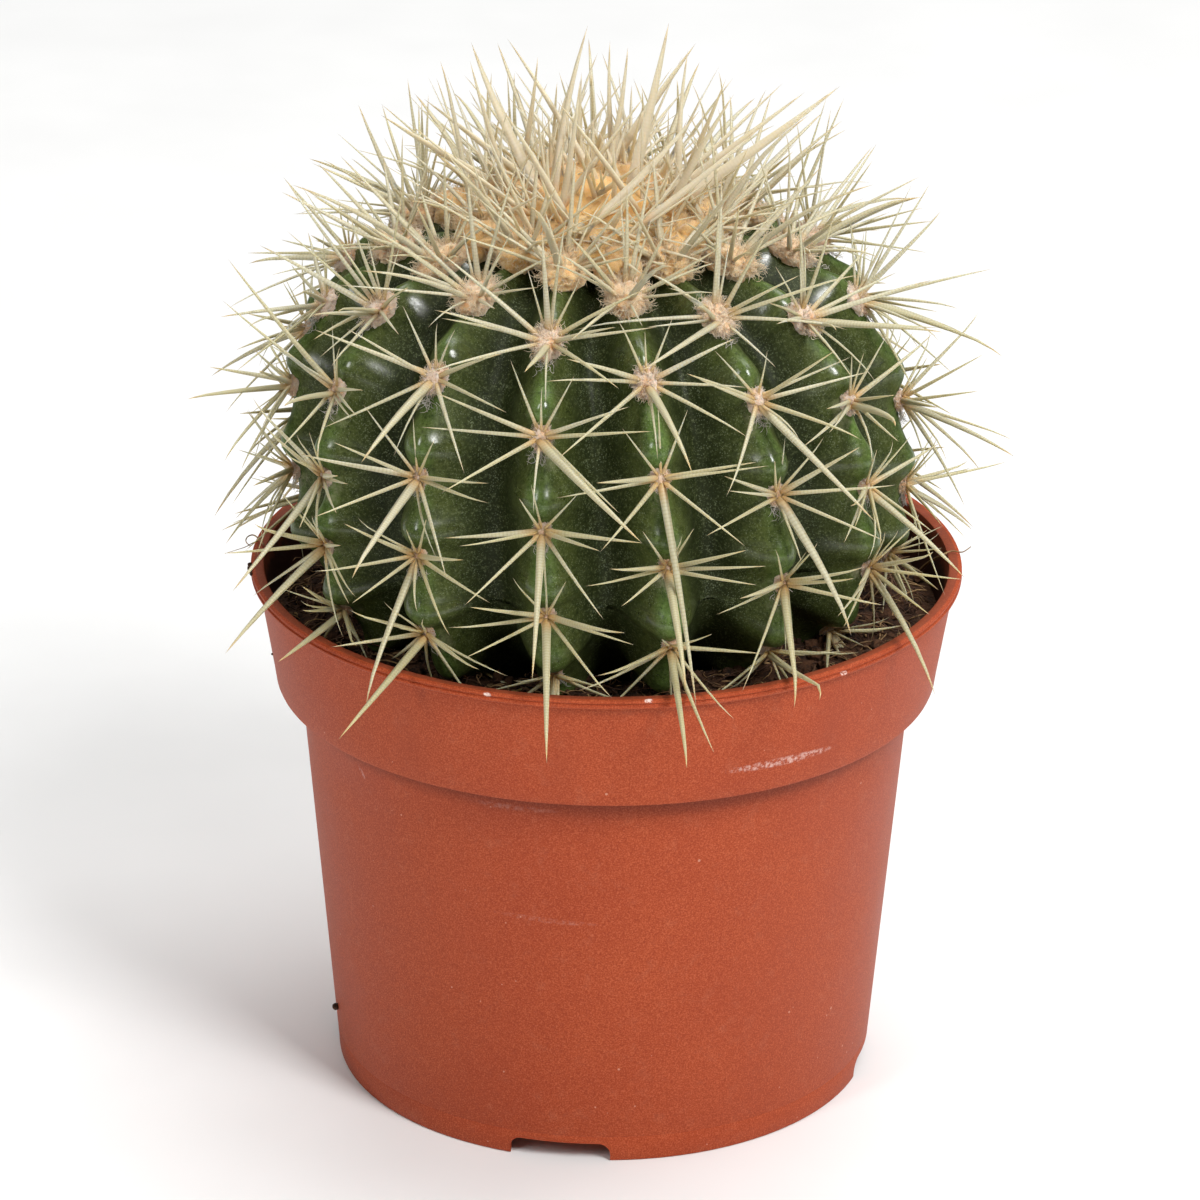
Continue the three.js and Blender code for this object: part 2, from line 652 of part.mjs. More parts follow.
const potPlastic = new THREE.MeshStandardMaterial({ color: 0xb1543a, roughness: 0.62, metalness: 0 });
const darkPeat = new THREE.MeshStandardMaterial({ color: 0x2e1f18, roughness: 0.95, metalness: 0 });
const paleRoot = new THREE.MeshStandardMaterial({ color: 0xb79a72, roughness: 0.85, metalness: 0 });
const greenSkin = new THREE.MeshStandardMaterial({ color: 0x2f4a26, roughness: 0.4, metalness: 0 });
const goldenWool = new THREE.MeshStandardMaterial({ color: 0xe0b070, roughness: 0.95, metalness: 0 });
const paleSpine = new THREE.MeshStandardMaterial({ color: 0xd9cc9a, roughness: 0.55, metalness: 0 });

const plant = new THREE.Group();
const potted = new THREE.Group();
potted.add(plant);

function addNode(group, name, solid, material) {
  const mesh = new THREE.Mesh(geometryFrom(solid), material);
  mesh.name = name;
  group.add(mesh);
}

const stemCutter = stem(CUT_BACK);
const rootCutter = roots(CUT_BACK);
addNode(potted, 'pot', pot(), potPlastic);
addNode(potted, 'soil', soil(stemCutter, rootCutter), darkPeat);
addNode(plant, 'roots', largestBody(roots(0).subtract(stemCutter)), paleRoot);
addNode(plant, 'stem', stem(0), greenSkin);
addNode(plant, 'crown', crown(stemCutter), goldenWool);
areoles.forEach((row, rib) => {
  const name = 'spine_row_' + String(rib + 1).padStart(2, '0');
  addNode(plant, name, spineRow(row, stemCutter), paleSpine);
});

export default potted;
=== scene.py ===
# %% [markdown]
# # A round cactus in a nursery pot
# The plant is a young ball cactus: a ribbed green stem, rows of felted cushions called areoles that carry
# straw-coloured spines, and a woolly crown. It grows in peat, in a moulded plastic pot 12 cm across.
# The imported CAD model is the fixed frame. It is loaded first, and each piece made here stands where its
# CAD solid stands. The scene is in metres, and the sizes below are written in millimetres.

# %% Load the frame
import math
import random

import bpy
import numpy as np
from mathutils import Matrix, Vector, noise


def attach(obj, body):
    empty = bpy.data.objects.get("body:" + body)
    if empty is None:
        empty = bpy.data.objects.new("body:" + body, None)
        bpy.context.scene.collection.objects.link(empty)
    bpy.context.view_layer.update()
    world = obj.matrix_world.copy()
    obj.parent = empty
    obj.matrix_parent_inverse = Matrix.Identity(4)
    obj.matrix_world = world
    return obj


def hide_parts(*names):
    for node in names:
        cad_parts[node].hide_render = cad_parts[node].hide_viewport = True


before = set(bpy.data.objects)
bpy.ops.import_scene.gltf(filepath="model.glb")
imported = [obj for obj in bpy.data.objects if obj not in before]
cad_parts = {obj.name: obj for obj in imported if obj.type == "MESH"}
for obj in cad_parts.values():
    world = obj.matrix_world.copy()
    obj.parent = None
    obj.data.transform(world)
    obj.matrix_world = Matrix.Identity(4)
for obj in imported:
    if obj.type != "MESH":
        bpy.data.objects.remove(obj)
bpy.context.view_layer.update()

MM = 0.001
UP, FRONT, RIGHT = Vector((0, 0, 1)), Vector((0, -1, 0)), Vector((1, 0, 0))
print("CAD nodes:", sorted(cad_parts))

# %% [markdown]
# ## The camera
# The photograph was taken with a long lens from about a metre away, looking 23 degrees down. The distance,
# the focal length and the slight roll were found by fitting the ellipses of the pot's rim, ledge and foot.

# %% Camera
IMAGE_SIZE = 1200
FOCAL_PIXELS = 5905.8
SENSOR = 36.0
CAMERA_DISTANCE = 1000.1
CAMERA_ELEVATION = 23.034
CAMERA_ROLL = 0.417
AIM = Vector((-1.031, 0, 82.677))

tilt = Matrix.Rotation(math.radians(90 - CAMERA_ELEVATION), 4, "X")
camera_turn = tilt @ Matrix.Rotation(math.radians(CAMERA_ROLL), 4, "Z")
EYE = AIM + CAMERA_DISTANCE * (tilt @ UP)

bpy.ops.object.camera_add(location=EYE * MM, rotation=camera_turn.to_euler())
camera = bpy.context.object
camera.name = "camera"
camera.data.sensor_width = SENSOR
camera.data.lens = SENSOR * FOCAL_PIXELS / IMAGE_SIZE
bpy.context.scene.camera = camera
print("camera at", [round(value, 4) for value in camera.location], "lens", round(camera.data.lens, 1))

# %% [markdown]
# Some small things are placed by the pixel of the photograph in which they show. A pixel gives a line of
# sight, and the thing sits where that line meets the surface that carries it.

# %% Lines of sight
def sight(pixel):
    """The direction, as a unit vector, in which the camera sees a pixel of the 1200 by 1200 photograph."""
    across, down = pixel[0] - IMAGE_SIZE / 2, pixel[1] - IMAGE_SIZE / 2
    return (camera_turn @ Vector((across, -down, -FOCAL_PIXELS))).normalized()


def seen_at(point):
    """The pixel of the photograph in which a point shows."""
    ray = camera_turn.inverted() @ (Vector(point) - EYE)
    return Vector((IMAGE_SIZE / 2 - ray.x * FOCAL_PIXELS / ray.z, IMAGE_SIZE / 2 + ray.y * FOCAL_PIXELS / ray.z))


def seen_on(piece, pixel):
    """Where the line of sight through a pixel meets a piece, in millimetres."""
    hit, place, _, _ = piece.ray_cast(EYE * MM, sight(pixel))
    return place / MM if hit else None


# %% [markdown]
# ## Helpers for modelling
# An operator acts on everything that is selected, and the frame's own pieces come in selected. So each step
# first deselects all, and then picks what it works on in code, by its place.

# %% Adding and selecting
def activate(piece):
    bpy.ops.object.select_all(action="DESELECT")
    piece.select_set(True)
    bpy.context.view_layer.objects.active = piece


def added(name, operator, **settings):
    """The piece that an operator adds, named, with its place put into its mesh."""
    bpy.ops.object.select_all(action="DESELECT")
    operator(**settings)
    piece = bpy.context.object
    piece.name = piece.data.name = name
    bpy.ops.object.transform_apply(location=True, rotation=True, scale=True)
    return piece


def edit(piece, kind="VERT", action="SELECT"):
    """Opens a piece for editing by vertices, edges or faces: all of them, none, or those picked before."""
    activate(piece)
    bpy.context.tool_settings.mesh_select_mode = [kind == name for name in ("VERT", "EDGE", "FACE")]
    bpy.ops.object.mode_set(mode="EDIT")
    if action:
        bpy.ops.mesh.select_all(action=action)


def leave_edit():
    bpy.ops.object.mode_set(mode="OBJECT")


# %% [markdown]
# Doubles are merged before the normals are recalculated, so that the operator sees one closed shell and can
# tell its outside from its inside.

# %% Closing, smoothing and finishing
SAME_POINT = 0.01 * MM


def close_up(piece):
    edit(piece)
    bpy.ops.mesh.remove_doubles(threshold=SAME_POINT)
    bpy.ops.mesh.normals_make_consistent(inside=False)
    leave_edit()


def smooth(piece, degrees=None):
    """Shades a piece smoothly all over, or only where its faces meet at less than an angle."""
    activate(piece)
    if degrees is None:
        bpy.ops.object.shade_smooth()
    else:
        bpy.ops.object.shade_smooth_by_angle(angle=math.radians(degrees))


def finish_piece(piece, material, node):
    """Gives a piece its material and its body, and hides the CAD node that it stands for."""
    piece.data.materials.clear()
    piece.data.materials.append(material)
    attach(piece, "root")
    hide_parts(node)
    print(piece.name, "has", len(piece.data.polygons), "faces")


# %% [markdown]
# ## The pot
# A nursery pot is injection moulded from polypropylene: a thin tapering wall, a deeper collar for stacking
# and for the fingers, and a small lip that stiffens the edge. All of it is round, so its section is drawn
# once as a wire, corner by corner, and spun about the axis. The lip has a fine groove between two rounded
# edges, because the photograph shows two bright lines there with a dark one between them.

# %% The pot's section
RIM_HEIGHT = 90.6
COLLAR_LOW = 70.1
FOOT_DEPTH = 3.6
BASE_TOP = 4.8
POT_STEPS = 192
POT_SMOOTH = 30

OUTSIDE = [
    (0, FOOT_DEPTH), (43.9, FOOT_DEPTH), (44.4, 3.1), (44.4, 0.3), (44.7, 0), (45.5, 0), (45.8, 0.12),
    (45.92, 0.4), (46.2, 4.2), (46.13, 4.6), (46.28, 5.0), (51.75, 69.0), (51.84, 69.7), (52.1, 70.1),
    (55.3, 70.1), (55.75, 70.25), (55.95, 70.7), (56.35, 73.5), (58.75, 88.3), (58.78, 88.8), (59.1, 89.0),
    (59.7, 89.05), (59.97, 89.3), (60.0, 89.6), (59.72, 89.8), (59.72, 89.95), (59.97, 90.15),
    (59.9, 90.45), (59.6, 90.6),
]
INSIDE = [
    (58.1, 90.6), (57.8, 90.45), (57.68, 90.1), (55.0, 72.3), (54.75, 71.7), (54.2, 71.3), (51.2, 71.3),
    (50.75, 71.1), (50.62, 70.5), (45.6, 6.6), (45.1, 5.3), (44.0, BASE_TOP), (0, BASE_TOP),
]


# %% Drawing and spinning a section
def draw_wire(name, corners):
    """A wire through pairs of radius and height, extruded corner by corner from a single point."""
    radius, height = corners[0]
    wire = added(name, bpy.ops.mesh.primitive_plane_add, size=MM, location=(radius * MM, 0, height * MM))
    edit(wire)
    bpy.ops.mesh.merge(type="CENTER")
    for (r0, h0), (r1, h1) in zip(corners, corners[1:]):
        step = ((r1 - r0) * MM, 0, (h1 - h0) * MM)
        bpy.ops.mesh.extrude_vertices_move(TRANSFORM_OT_translate={"value": step})
    leave_edit()
    return wire


def spin_round(piece, steps):
    edit(piece)
    bpy.ops.mesh.spin(steps=steps, angle=2 * math.pi, center=(0, 0, 0), axis=(0, 0, 1))
    leave_edit()
    close_up(piece)


pot = draw_wire("pot_shell", OUTSIDE + INSIDE)
spin_round(pot, POT_STEPS)
print("pot wall spun:", len(pot.data.vertices), "points")

# %% [markdown]
# Four notches in the foot let water out sideways, and round holes in the base let it down. Both are cut with
# a Boolean modifier. A notch cutter is a block whose two upper edges are bevelled, as the photograph shows
# its corners round.

# %% Cutters
NOTCH_AZIMUTHS = (-9, 81, 171, 261)
NOTCH_SIZE = (17, 26, 8.3)
NOTCH_CENTRE = (0, -36, -0.85)
NOTCH_CORNER = 2
NOTCH_SEGMENTS = 6
DRAIN_AZIMUTHS = (30, 90, 150, 210, 270, 330)
DRAIN_CIRCLE = 32
DRAIN_RADIUS = 4
DRAIN_SIDES = 32
CENTRE_DRAIN_RADIUS = 6
CUTTER_DEPTH = 4


def around(azimuth, radius):
    """The point at an azimuth: 0 is the front, towards -Y, and 90 is towards +X."""
    turn = math.radians(azimuth)
    return Vector((math.sin(turn) * radius, -math.cos(turn) * radius, 0))


def notch_cutter(azimuth):
    block = added("notch_cutter", bpy.ops.mesh.primitive_cube_add, size=MM,
                  location=[value * MM for value in NOTCH_CENTRE], scale=NOTCH_SIZE)
    top = (NOTCH_CENTRE[2] + NOTCH_SIZE[2] / 2) * MM - SAME_POINT
    edit(block, action="DESELECT")
    leave_edit()
    for edge in block.data.edges:
        start, end = [block.data.vertices[i].co for i in edge.vertices]
        edge.select = min(start.z, end.z) > top and start.x * end.x > 0
    edit(block, "EDGE", None)
    bpy.ops.mesh.bevel(offset=NOTCH_CORNER * MM, segments=NOTCH_SEGMENTS)
    bpy.ops.mesh.select_all(action="SELECT")
    bpy.ops.transform.rotate(value=math.radians(-azimuth), orient_axis="Z", center_override=(0, 0, 0))
    leave_edit()
    return block


def drain_cutter(azimuth, circle, radius):
    centre = around(azimuth, circle) + UP * ((FOOT_DEPTH + BASE_TOP) / 2)
    return added("drain_cutter", bpy.ops.mesh.primitive_cylinder_add, vertices=DRAIN_SIDES,
                 radius=radius * MM, depth=CUTTER_DEPTH * MM, location=centre * MM)


# %% Cutting the notches and the drain holes
cutters = [notch_cutter(azimuth) for azimuth in NOTCH_AZIMUTHS]
cutters += [drain_cutter(azimuth, DRAIN_CIRCLE, DRAIN_RADIUS) for azimuth in DRAIN_AZIMUTHS]
cutters.append(drain_cutter(0, 0, CENTRE_DRAIN_RADIUS))
print("cutters:", len(cutters))
for cutter in cutters:
    activate(pot)
    bpy.ops.object.modifier_add(type="BOOLEAN")
    boolean = pot.modifiers[-1]
    boolean.operation, boolean.solver, boolean.object = "DIFFERENCE", "EXACT", cutter
    bpy.ops.object.modifier_apply(modifier=boolean.name)
    bpy.data.objects.remove(cutter)
smooth(pot, POT_SMOOTH)
print("pot after cutting:", len(pot.data.vertices), "points")

# %% [markdown]
# ### Helpers for materials
# A material's colours are written as sRGB hex values, as they would be picked from a swatch, and one function
# turns them to the linear values that a shader wants. One small helper adds a node with its settings and
# links, and two more lay tints over a colour, so that a material reads from top to bottom as a recipe.

# %% Colours and nodes
def linear(hex_colour):
    parts = [(hex_colour >> shift & 255) / 255 for shift in (16, 8, 0)]
    return (*[p / 12.92 if p <= 0.04045 else ((p + 0.055) / 1.055) ** 2.4 for p in parts], 1)


def fill(node, sockets):
    """Links a socket where the value is an output, and sets it where the value is a number or a colour."""
    for name, value in sockets.items():
        if isinstance(value, bpy.types.NodeSocket):
            node.id_data.links.new(value, node.inputs[name])
        else:
            node.inputs[name].default_value = value


def add(tree, kind, *values, **settings):
    """Adds a node and returns its first output. A name with a capital is a socket, any other a setting."""
    node = tree.nodes.new("ShaderNode" + kind)
    for name, value in settings.items():
        if name[0].islower():
            setattr(node, name, value)
    fill(node, dict(enumerate(values)))
    fill(node, {name.replace("_", " "): value for name, value in settings.items() if name[0].isupper()})
    return node.outputs[0]


# %% [markdown]
# A material is begun with what it reads: its place on the piece, numbers kept at the piece's points, and
# noises whose features have a real size.

# %% Beginning a material
def per_mm(size):
    """The scale of a pattern whose features are this many millimetres apart."""
    return 1 / (size * MM)


def new_material(name, attributes=(), noises=()):
    """A material, its nodes, its shader and its place on the piece, and then the attributes and noises it reads.

    A noise is given by the size of its features in millimetres, its detail and its roughness.
    """
    material = bpy.data.materials.new(name)
    material.use_nodes = True
    tree = material.node_tree
    place = add(tree, "TexCoord").node.outputs["Object"]
    numbers = [add(tree, "Attribute", attribute_name=kept).node.outputs["Fac"] for kept in attributes]
    fields = [add(tree, "TexNoise", Vector=place, Scale=per_mm(size), Detail=detail, Roughness=rough)
              for size, detail, rough in noises]
    return (material, tree, tree.nodes["Principled BSDF"], place, *numbers, *fields)


# %% [markdown]
# Most patterns only tint a colour. How strong a tint is depends on measures, such as a noise or the age, and
# each measure is mapped to a share between 0 and 1. The colour is built up tint by tint, as layers of paint.

# %% Laying tints
def share_of(tree, *measures):
    """The product of some measures. One that comes with numbers is mapped from the first two to the others."""
    share = None
    for measure in measures:
        part = add(tree, "MapRange", *measure) if isinstance(measure, tuple) else measure
        share = part if share is None else add(tree, "Math", share, part, operation="MULTIPLY")
    return share


def tinted(tree, colour, *tints):
    """Lays tints over a colour. Each is a hex colour, and the measures whose product is its share."""
    for hue, *measures in tints:
        colour = add(tree, "MixRGB", share_of(tree, *measures), colour, linear(hue))
    return colour


# %% [markdown]
# ### Matt moulded polypropylene
# The pot is coloured in the mass and the mould is lightly etched, so the surface is matt, with a very fine
# grain and a faint sheen at grazing angles. The eye sees an even brick orange that is a little greyer where
# hands have rubbed it, soft darker bands under the lip that are painted shadows of spines, pale dust specks,
# small painted highlights on the lip, and thin scratches. Large clouds of slightly different colour come
# first, then the grain. Each is so weak that it is felt more than it is seen.

# %% Pot plastic
GRAIN = 0.24

pot_plastic, tree, shader, place, grain, cloud, mottle, rubbed, dusting = new_material(
    "matt_moulded_polypropylene",
    noises=((GRAIN, 2, 0.6), (22, 3, 0.55), (3.2, 4, 0.65), (0.8, 5, 0.75), (5, 1, 0.5)))
colour = tinted(tree, linear(0xA84520), (0xB04D27, (cloud, 0.35, 0.65)), (0x8C3317, (grain, 0.42, 0.62, 0, 0.75)),
                (0xCB7350, (grain, 0.46, 0.36, 0, 0.3)), (0xC98A6E, (mottle, 0.56, 0.8, 0, 0.12)))

# %% Painted spine shadows, scuffs, specks and painted lip highlights
SPINE_SHADOW_BANDS = ((410, 745), (560, 760), (830, 735))
SPINE_SHADOW_SIZE = (4.5, 4.5, 16)
PAINTED_LIP_HIGHLIGHTS = ((487, 695), (649, 701), (844, 673))
LIP_HIGHLIGHT_SIZE = (0.8, 0.8, 0.45)
SCUFFS = (((722, 772), (835, 746), 0.9, 0.7), ((492, 911), (600, 925), 0.6, 0.12),
          ((357, 762), (366, 781), 0.4, 0.45), ((470, 800), (560, 812), 0.6, 0.15))
SCUFF_DEPTH = 6
SCUFF_OVERRUN = 1.08


def mark(tree, place, centre, size, turn=(0, 0, 0)):
    """How near a place is to a mark's centre: 1 in its middle and 0 at its edge."""
    mapped = add(tree, "Mapping", Vector=place, vector_type="TEXTURE", Location=centre * MM,
                 Scale=[value * MM for value in size], Rotation=turn)
    far = add(tree, "VectorMath", mapped, operation="LENGTH").node.outputs["Value"]
    return add(tree, "MapRange", far, 0, 1, 1, 0)


# Painted shadows of spines: soft darker bands on the collar under the lip.
for pixel in SPINE_SHADOW_BANDS:
    spine_shadow = mark(tree, place, seen_on(pot, pixel), SPINE_SHADOW_SIZE)
    colour = tinted(tree, colour, (0x8E3B22, (spine_shadow, 0, 1, 0, 0.3)))
for *pixels, width, strength in SCUFFS:
    start, end = [seen_on(pot, pixel) for pixel in pixels]
    size = ((end - start).length / 2 * SCUFF_OVERRUN, SCUFF_DEPTH, width)
    scuff = mark(tree, place, (start + end) / 2, size, (end - start).to_track_quat("X", "Z").to_euler())
    colour = tinted(tree, colour, (0xE2BFB4, (scuff, 0.02, 0.35), (rubbed, 0.45, 0.62, 0, strength)))

dust = add(tree, "TexVoronoi", Vector=place, Scale=per_mm(2.6))
speck = add(tree, "Math", dust, share_of(tree, (dusting, 0.5, 0.75, 0, 0.11)), operation="LESS_THAN")
colour = tinted(tree, colour, (0xD9A58C, (speck, 0, 1, 0, 0.5)))
# Painted highlights: small white flecks of colour on the lip.
for pixel in PAINTED_LIP_HIGHLIGHTS:
    fleck = mark(tree, place, seen_on(pot, pixel), LIP_HIGHLIGHT_SIZE)
    colour = tinted(tree, colour, (0xF2DDD2, (fleck, 0.05, 0.3), (rubbed, 0.42, 0.52, 0, 0.9)))

# %% [markdown]
# The inner wall is painted darker as painted shade, and near the peat it is painted darker still, with an
# uneven upper edge: partly painted shade and partly a damp stain of splashed peat. Fingers have browned the
# inner half of the lip. The corner under the collar is painted darker as painted shade.

# %% Painted shade and stain inside, the lip, and painted shade under the collar
WALL_SLOPE = 0.155
INNER_WALL = 44.35
SHADE_AND_STAIN_FULL = 86.5
SHADE_AND_STAIN_ENDS = 89.4
SHADE_AND_STAIN_WAVE = 1.2
LIP_TOP = 89.9
LIP_MIDDLE = 59.3
COLLAR_SHADE_DEPTH = 4.5

height = add(tree, "SeparateXYZ", Vector=place).node.outputs["Z"]
flat = add(tree, "VectorMath", place, (1, 1, 0), operation="MULTIPLY")
from_axis = add(tree, "VectorMath", flat, operation="LENGTH").node.outputs["Value"]
leant = add(tree, "Math", height, WALL_SLOPE, operation="MULTIPLY")
leant = add(tree, "Math", from_axis, leant, operation="SUBTRACT")
level = share_of(tree, (mottle, 0.35, 0.65, -SHADE_AND_STAIN_WAVE * MM, SHADE_AND_STAIN_WAVE * MM))
level = add(tree, "Math", height, level, operation="ADD")
inside, collar, lip, near_axis, below = [
    add(tree, "Math", value, limit * MM, operation=test) for value, test, limit in (
        (leant, "LESS_THAN", INNER_WALL), (height, "GREATER_THAN", COLLAR_LOW), (height, "GREATER_THAN", LIP_TOP),
        (from_axis, "LESS_THAN", LIP_MIDDLE), (height, "LESS_THAN", COLLAR_LOW))]
inner = share_of(tree, inside, collar)
lip_wear_and_inner_shade = add(tree, "Math", share_of(tree, lip, near_axis), inner, operation="MAXIMUM")
# Painted shade on the inner wall, with finger browning on the lip; near the peat, painted shade and a peat stain
# together.
colour = tinted(
    tree, colour, (0x6E3A28, (lip_wear_and_inner_shade, 0, 1, 0, 0.55)),
    # Painted shade: darker towards the corner under the collar.
    (0x5A2412, (height, (COLLAR_LOW - COLLAR_SHADE_DEPTH) * MM, COLLAR_LOW * MM, 0, 0.9), below),
    (0x2C170F, inner, (level, SHADE_AND_STAIN_FULL * MM, SHADE_AND_STAIN_ENDS * MM, 0.93, 0)))

# %% Pot surface
relief = add(tree, "Math", grain, mottle, operation="ADD")
bump = add(tree, "Bump", Height=relief, Strength=0.25, Distance=0.05 * MM)
rough = share_of(tree, (cloud, 0.3, 0.7, 0.50, 0.60))
fill(shader, {"Base Color": colour, "Roughness": rough, "Normal": bump, "IOR": 1.49, "Specular IOR Level": 0.25})
finish_piece(pot, pot_plastic, "pot")

# %% [markdown]
# ## The stem's shape
# The stem is a flattened globe with fifteen ribs. Its outline in a plane through its axis is a pair of
# superellipses that meet at the waist. A place on the skin is given by its rib and by its distance from the
# crown, measured along the rib's crest, because the areoles are spaced along the crests.

# %% Outline of the stem
STEM_PLACE = Vector((-2.5, -1.5, 0))
STEM_RADIUS = 51.8
STEM_WAIST = 100.3
CROWN_RISE = 51.3
CROWN_POWER = 3.05
BASE_DROP = 31.7
BASE_POWER = 1.64
OUTLINE_STEPS = 2000
CREST_PROBE = 0.05

angles = np.linspace(0, math.pi, OUTLINE_STEPS + 1)
upper = np.cos(angles) >= 0
power = np.where(upper, 2 / CROWN_POWER, 2 / BASE_POWER)
reach = np.where(upper, CROWN_RISE, -BASE_DROP)
outline_radius = STEM_RADIUS * np.abs(np.sin(angles)) ** power
outline_height = STEM_WAIST + reach * np.abs(np.cos(angles)) ** power
outline_step = np.hypot(np.diff(outline_radius), np.diff(outline_height))
outline_distance = np.concatenate([[0], np.cumsum(outline_step)])
CREST_LENGTH = outline_distance[-1]
WAIST_DISTANCE = outline_distance[OUTLINE_STEPS // 2]
print("crest length", round(CREST_LENGTH, 1), "mm, waist at", round(WAIST_DISTANCE, 1))


def outline_at(distance):
    return [np.interp(distance, outline_distance, values) for values in (outline_radius, outline_height)]


def crest_at(distance):
    """The crest's radius and height, and the radial and upward parts of the direction out of it."""
    distance = np.clip(distance, 0, CREST_LENGTH)
    near_radius, near_height = outline_at(np.clip(distance - CREST_PROBE, 0, None))
    far_radius, far_height = outline_at(np.clip(distance + CREST_PROBE, None, CREST_LENGTH))
    run, fall = far_radius - near_radius, near_height - far_height
    span = np.hypot(run, fall)
    return (*outline_at(distance), fall / span, run / span)


# %% [markdown]
# The ribs that face the camera, and the one at the left edge, have each areole where the photograph has it,
# as a distance from the crown. On the others only the first areole and the spacing are stated, and each
# rib's first areole is higher or lower than its neighbours'.

# %% Ribs and their areoles
RIB_AZIMUTHS = (-56.6, -31.6, -7.6, 14.1, 36.5, 60.2, 87.0, 111.5, 134.5, 159.6, 182.8, 207.5, 230.8, 255.6,
                279.5)
RIBS = len(RIB_AZIMUTHS)
LAST_AREOLE = 103
SEEN_AREOLES = {
    0: (28.5, 41.8, 56.5, 70.9, 82.7, 94.8),
    1: (19.1, 33.0, 48.9, 64.9, 77.9, 91.5),
    2: (22.8, 39.7, 55.6, 70.7, 85.0, 98.1),
    3: (30.1, 46.9, 62.3, 76.9, 91.0),
    4: (22.3, 37.0, 52.4, 67.7, 82.9, 97.4),
    5: (26.8, 42.4, 57.7, 72.5, 87.1, 101.9),
    6: (18.9, 33.0, 46.8, 66.0, 81.4, 94.4),
    14: (17.9, 32.8, 47.7, 62.6, 77.5),
}
HIDDEN_AREOLES = {
    7: (24.8, 15.0), 8: (31.0, 15.0), 9: (21.9, 15.0), 10: (28.2, 14.8), 11: (19.2, 15.0), 12: (25.2, 15.0),
    13: (31.2, 14.6),
}
areoles = [list(SEEN_AREOLES[rib]) if rib in SEEN_AREOLES else
           list(np.arange(HIDDEN_AREOLES[rib][0], LAST_AREOLE, HIDDEN_AREOLES[rib][1])) for rib in range(RIBS)]
print("areoles on each rib:", [len(row) for row in areoles])

# %% [markdown]
# ### The skin as a function
# Between two crests the skin dips into a groove. Each crest also swells between one areole and the next,
# fullest just above the lower one, so an areole sits in a slight notch. The highlights in the photograph
# sit on these swellings. Low on the left the plant is less round, and its skin is nearer to the axis.

# %% Where a rib runs
RIB_TWIST = 0.065
NARROWING = 3.6
NARROW_SIDE = -92
NARROW_POWER = 8
NARROW_STARTS = 60
NARROW_GROWS = 26


def rib_azimuth(rib, distance):
    rib = np.asarray(rib, int)
    base = np.array(RIB_AZIMUTHS)[rib % RIBS] + 360.0 * (rib // RIBS)
    return base + RIB_TWIST * (np.asarray(distance) - WAIST_DISTANCE)


def narrowing(azimuth, distance):
    """How much nearer to the axis the skin is, low on the left."""
    side = np.clip(np.cos(np.radians(azimuth - NARROW_SIDE)), 0, 1) ** NARROW_POWER
    return NARROWING * side * np.clip((distance - NARROW_STARTS) / NARROW_GROWS, 0, 1)


# %% Points of the skin
RIB_DEPTH_SHARE = 0.155
GROOVE_POWER = 0.75
SWELLING = 2.3
SWELLING_FULLEST = 1.94
SWELLING_STARTS = 22
SWELLING_GROWS = 36
BROADENING = 0.4
BROADENING_LEAST = 0.5


def fullness(rib, distance):
    """How full a crest is at a distance: 0 at an areole, and 1 at seven tenths of the way to the next."""
    marks = np.array(areoles[rib % RIBS])
    spacing = np.mean(np.diff(marks))
    marks = np.concatenate([[marks[0] - spacing], marks, [marks[-1] + spacing, marks[-1] + 2 * spacing]])
    phase = np.interp(distance, marks, np.arange(len(marks))) % 1
    return 0.5 - 0.5 * np.cos(2 * math.pi * phase ** SWELLING_FULLEST)


def skin(ribs, distances):
    """Points of the skin. A whole rib number is on a crest, and half of one is in a groove."""
    radius, height, outward, upward = crest_at(distances)
    low = np.floor(ribs).astype(int)
    share = ribs - low
    azimuth = np.radians((1 - share) * rib_azimuth(low, distances) + share * rib_azimuth(low + 1, distances))
    nearest = np.round(ribs).astype(int) % RIBS
    full = np.zeros(len(ribs))
    for rib in range(RIBS):
        on_rib = nearest == rib
        full[on_rib] = fullness(rib, distances[on_rib])
    grown = np.clip((distances - SWELLING_STARTS) / SWELLING_GROWS, 0, 1)
    broader = 1 + BROADENING * full * np.maximum(grown, BROADENING_LEAST)
    groove = (0.5 - 0.5 * np.cos(2 * math.pi * share)) ** (GROOVE_POWER * broader)
    depth = RIB_DEPTH_SHARE * radius * groove - SWELLING * full * grown * (1 - groove)
    out_radius = radius - narrowing(np.degrees(azimuth), distances) - depth * outward
    points = np.stack([np.sin(azimuth) * out_radius, -np.cos(azimuth) * out_radius, height - depth * upward], 1)
    return points + np.array(STEM_PLACE), 1 - groove, full


# %% A place on a crest
def crest_frame(rib, distance):
    """A place on a crest, with the directions out of the skin, down the crest and across it."""
    radius, height, outward, upward = [float(value) for value in crest_at(distance)]
    azimuth = float(rib_azimuth(rib, distance))
    radial = around(azimuth, 1)
    out = radial * outward + UP * upward
    down = radial * upward - UP * outward
    radius -= float(narrowing(azimuth, distance))
    return radial * radius + UP * height + STEM_PLACE, out, down, out.cross(down)


# %% [markdown]
# The mesh starts as a UV sphere with twenty columns to a rib, and each of its points is moved to its place
# on the skin. Sculpting fifteen ribs by hand would not give them the measured places, so this one shape is
# made with the formula above. Four attributes are kept for the material: the crest's share, how full the
# crest is, the distance from the crown as the age, and how far the skin faces upward.

# %% The stem's mesh
COLUMNS_PER_RIB = 20
STEM_RINGS = 160
SKIN_UNEVEN = 0.18
SKIN_UNEVEN_SIZE = 5


def points_of(piece):
    return np.array([vertex.co for vertex in piece.data.vertices])


def keep_attribute(mesh, name, values):
    """Stores a number at each point of a mesh: one for all of them, or one for each."""
    attribute = mesh.attributes.get(name) or mesh.attributes.new(name, "FLOAT", "POINT")
    attribute.data.foreach_set("value", np.full(len(mesh.vertices), values, np.float32))


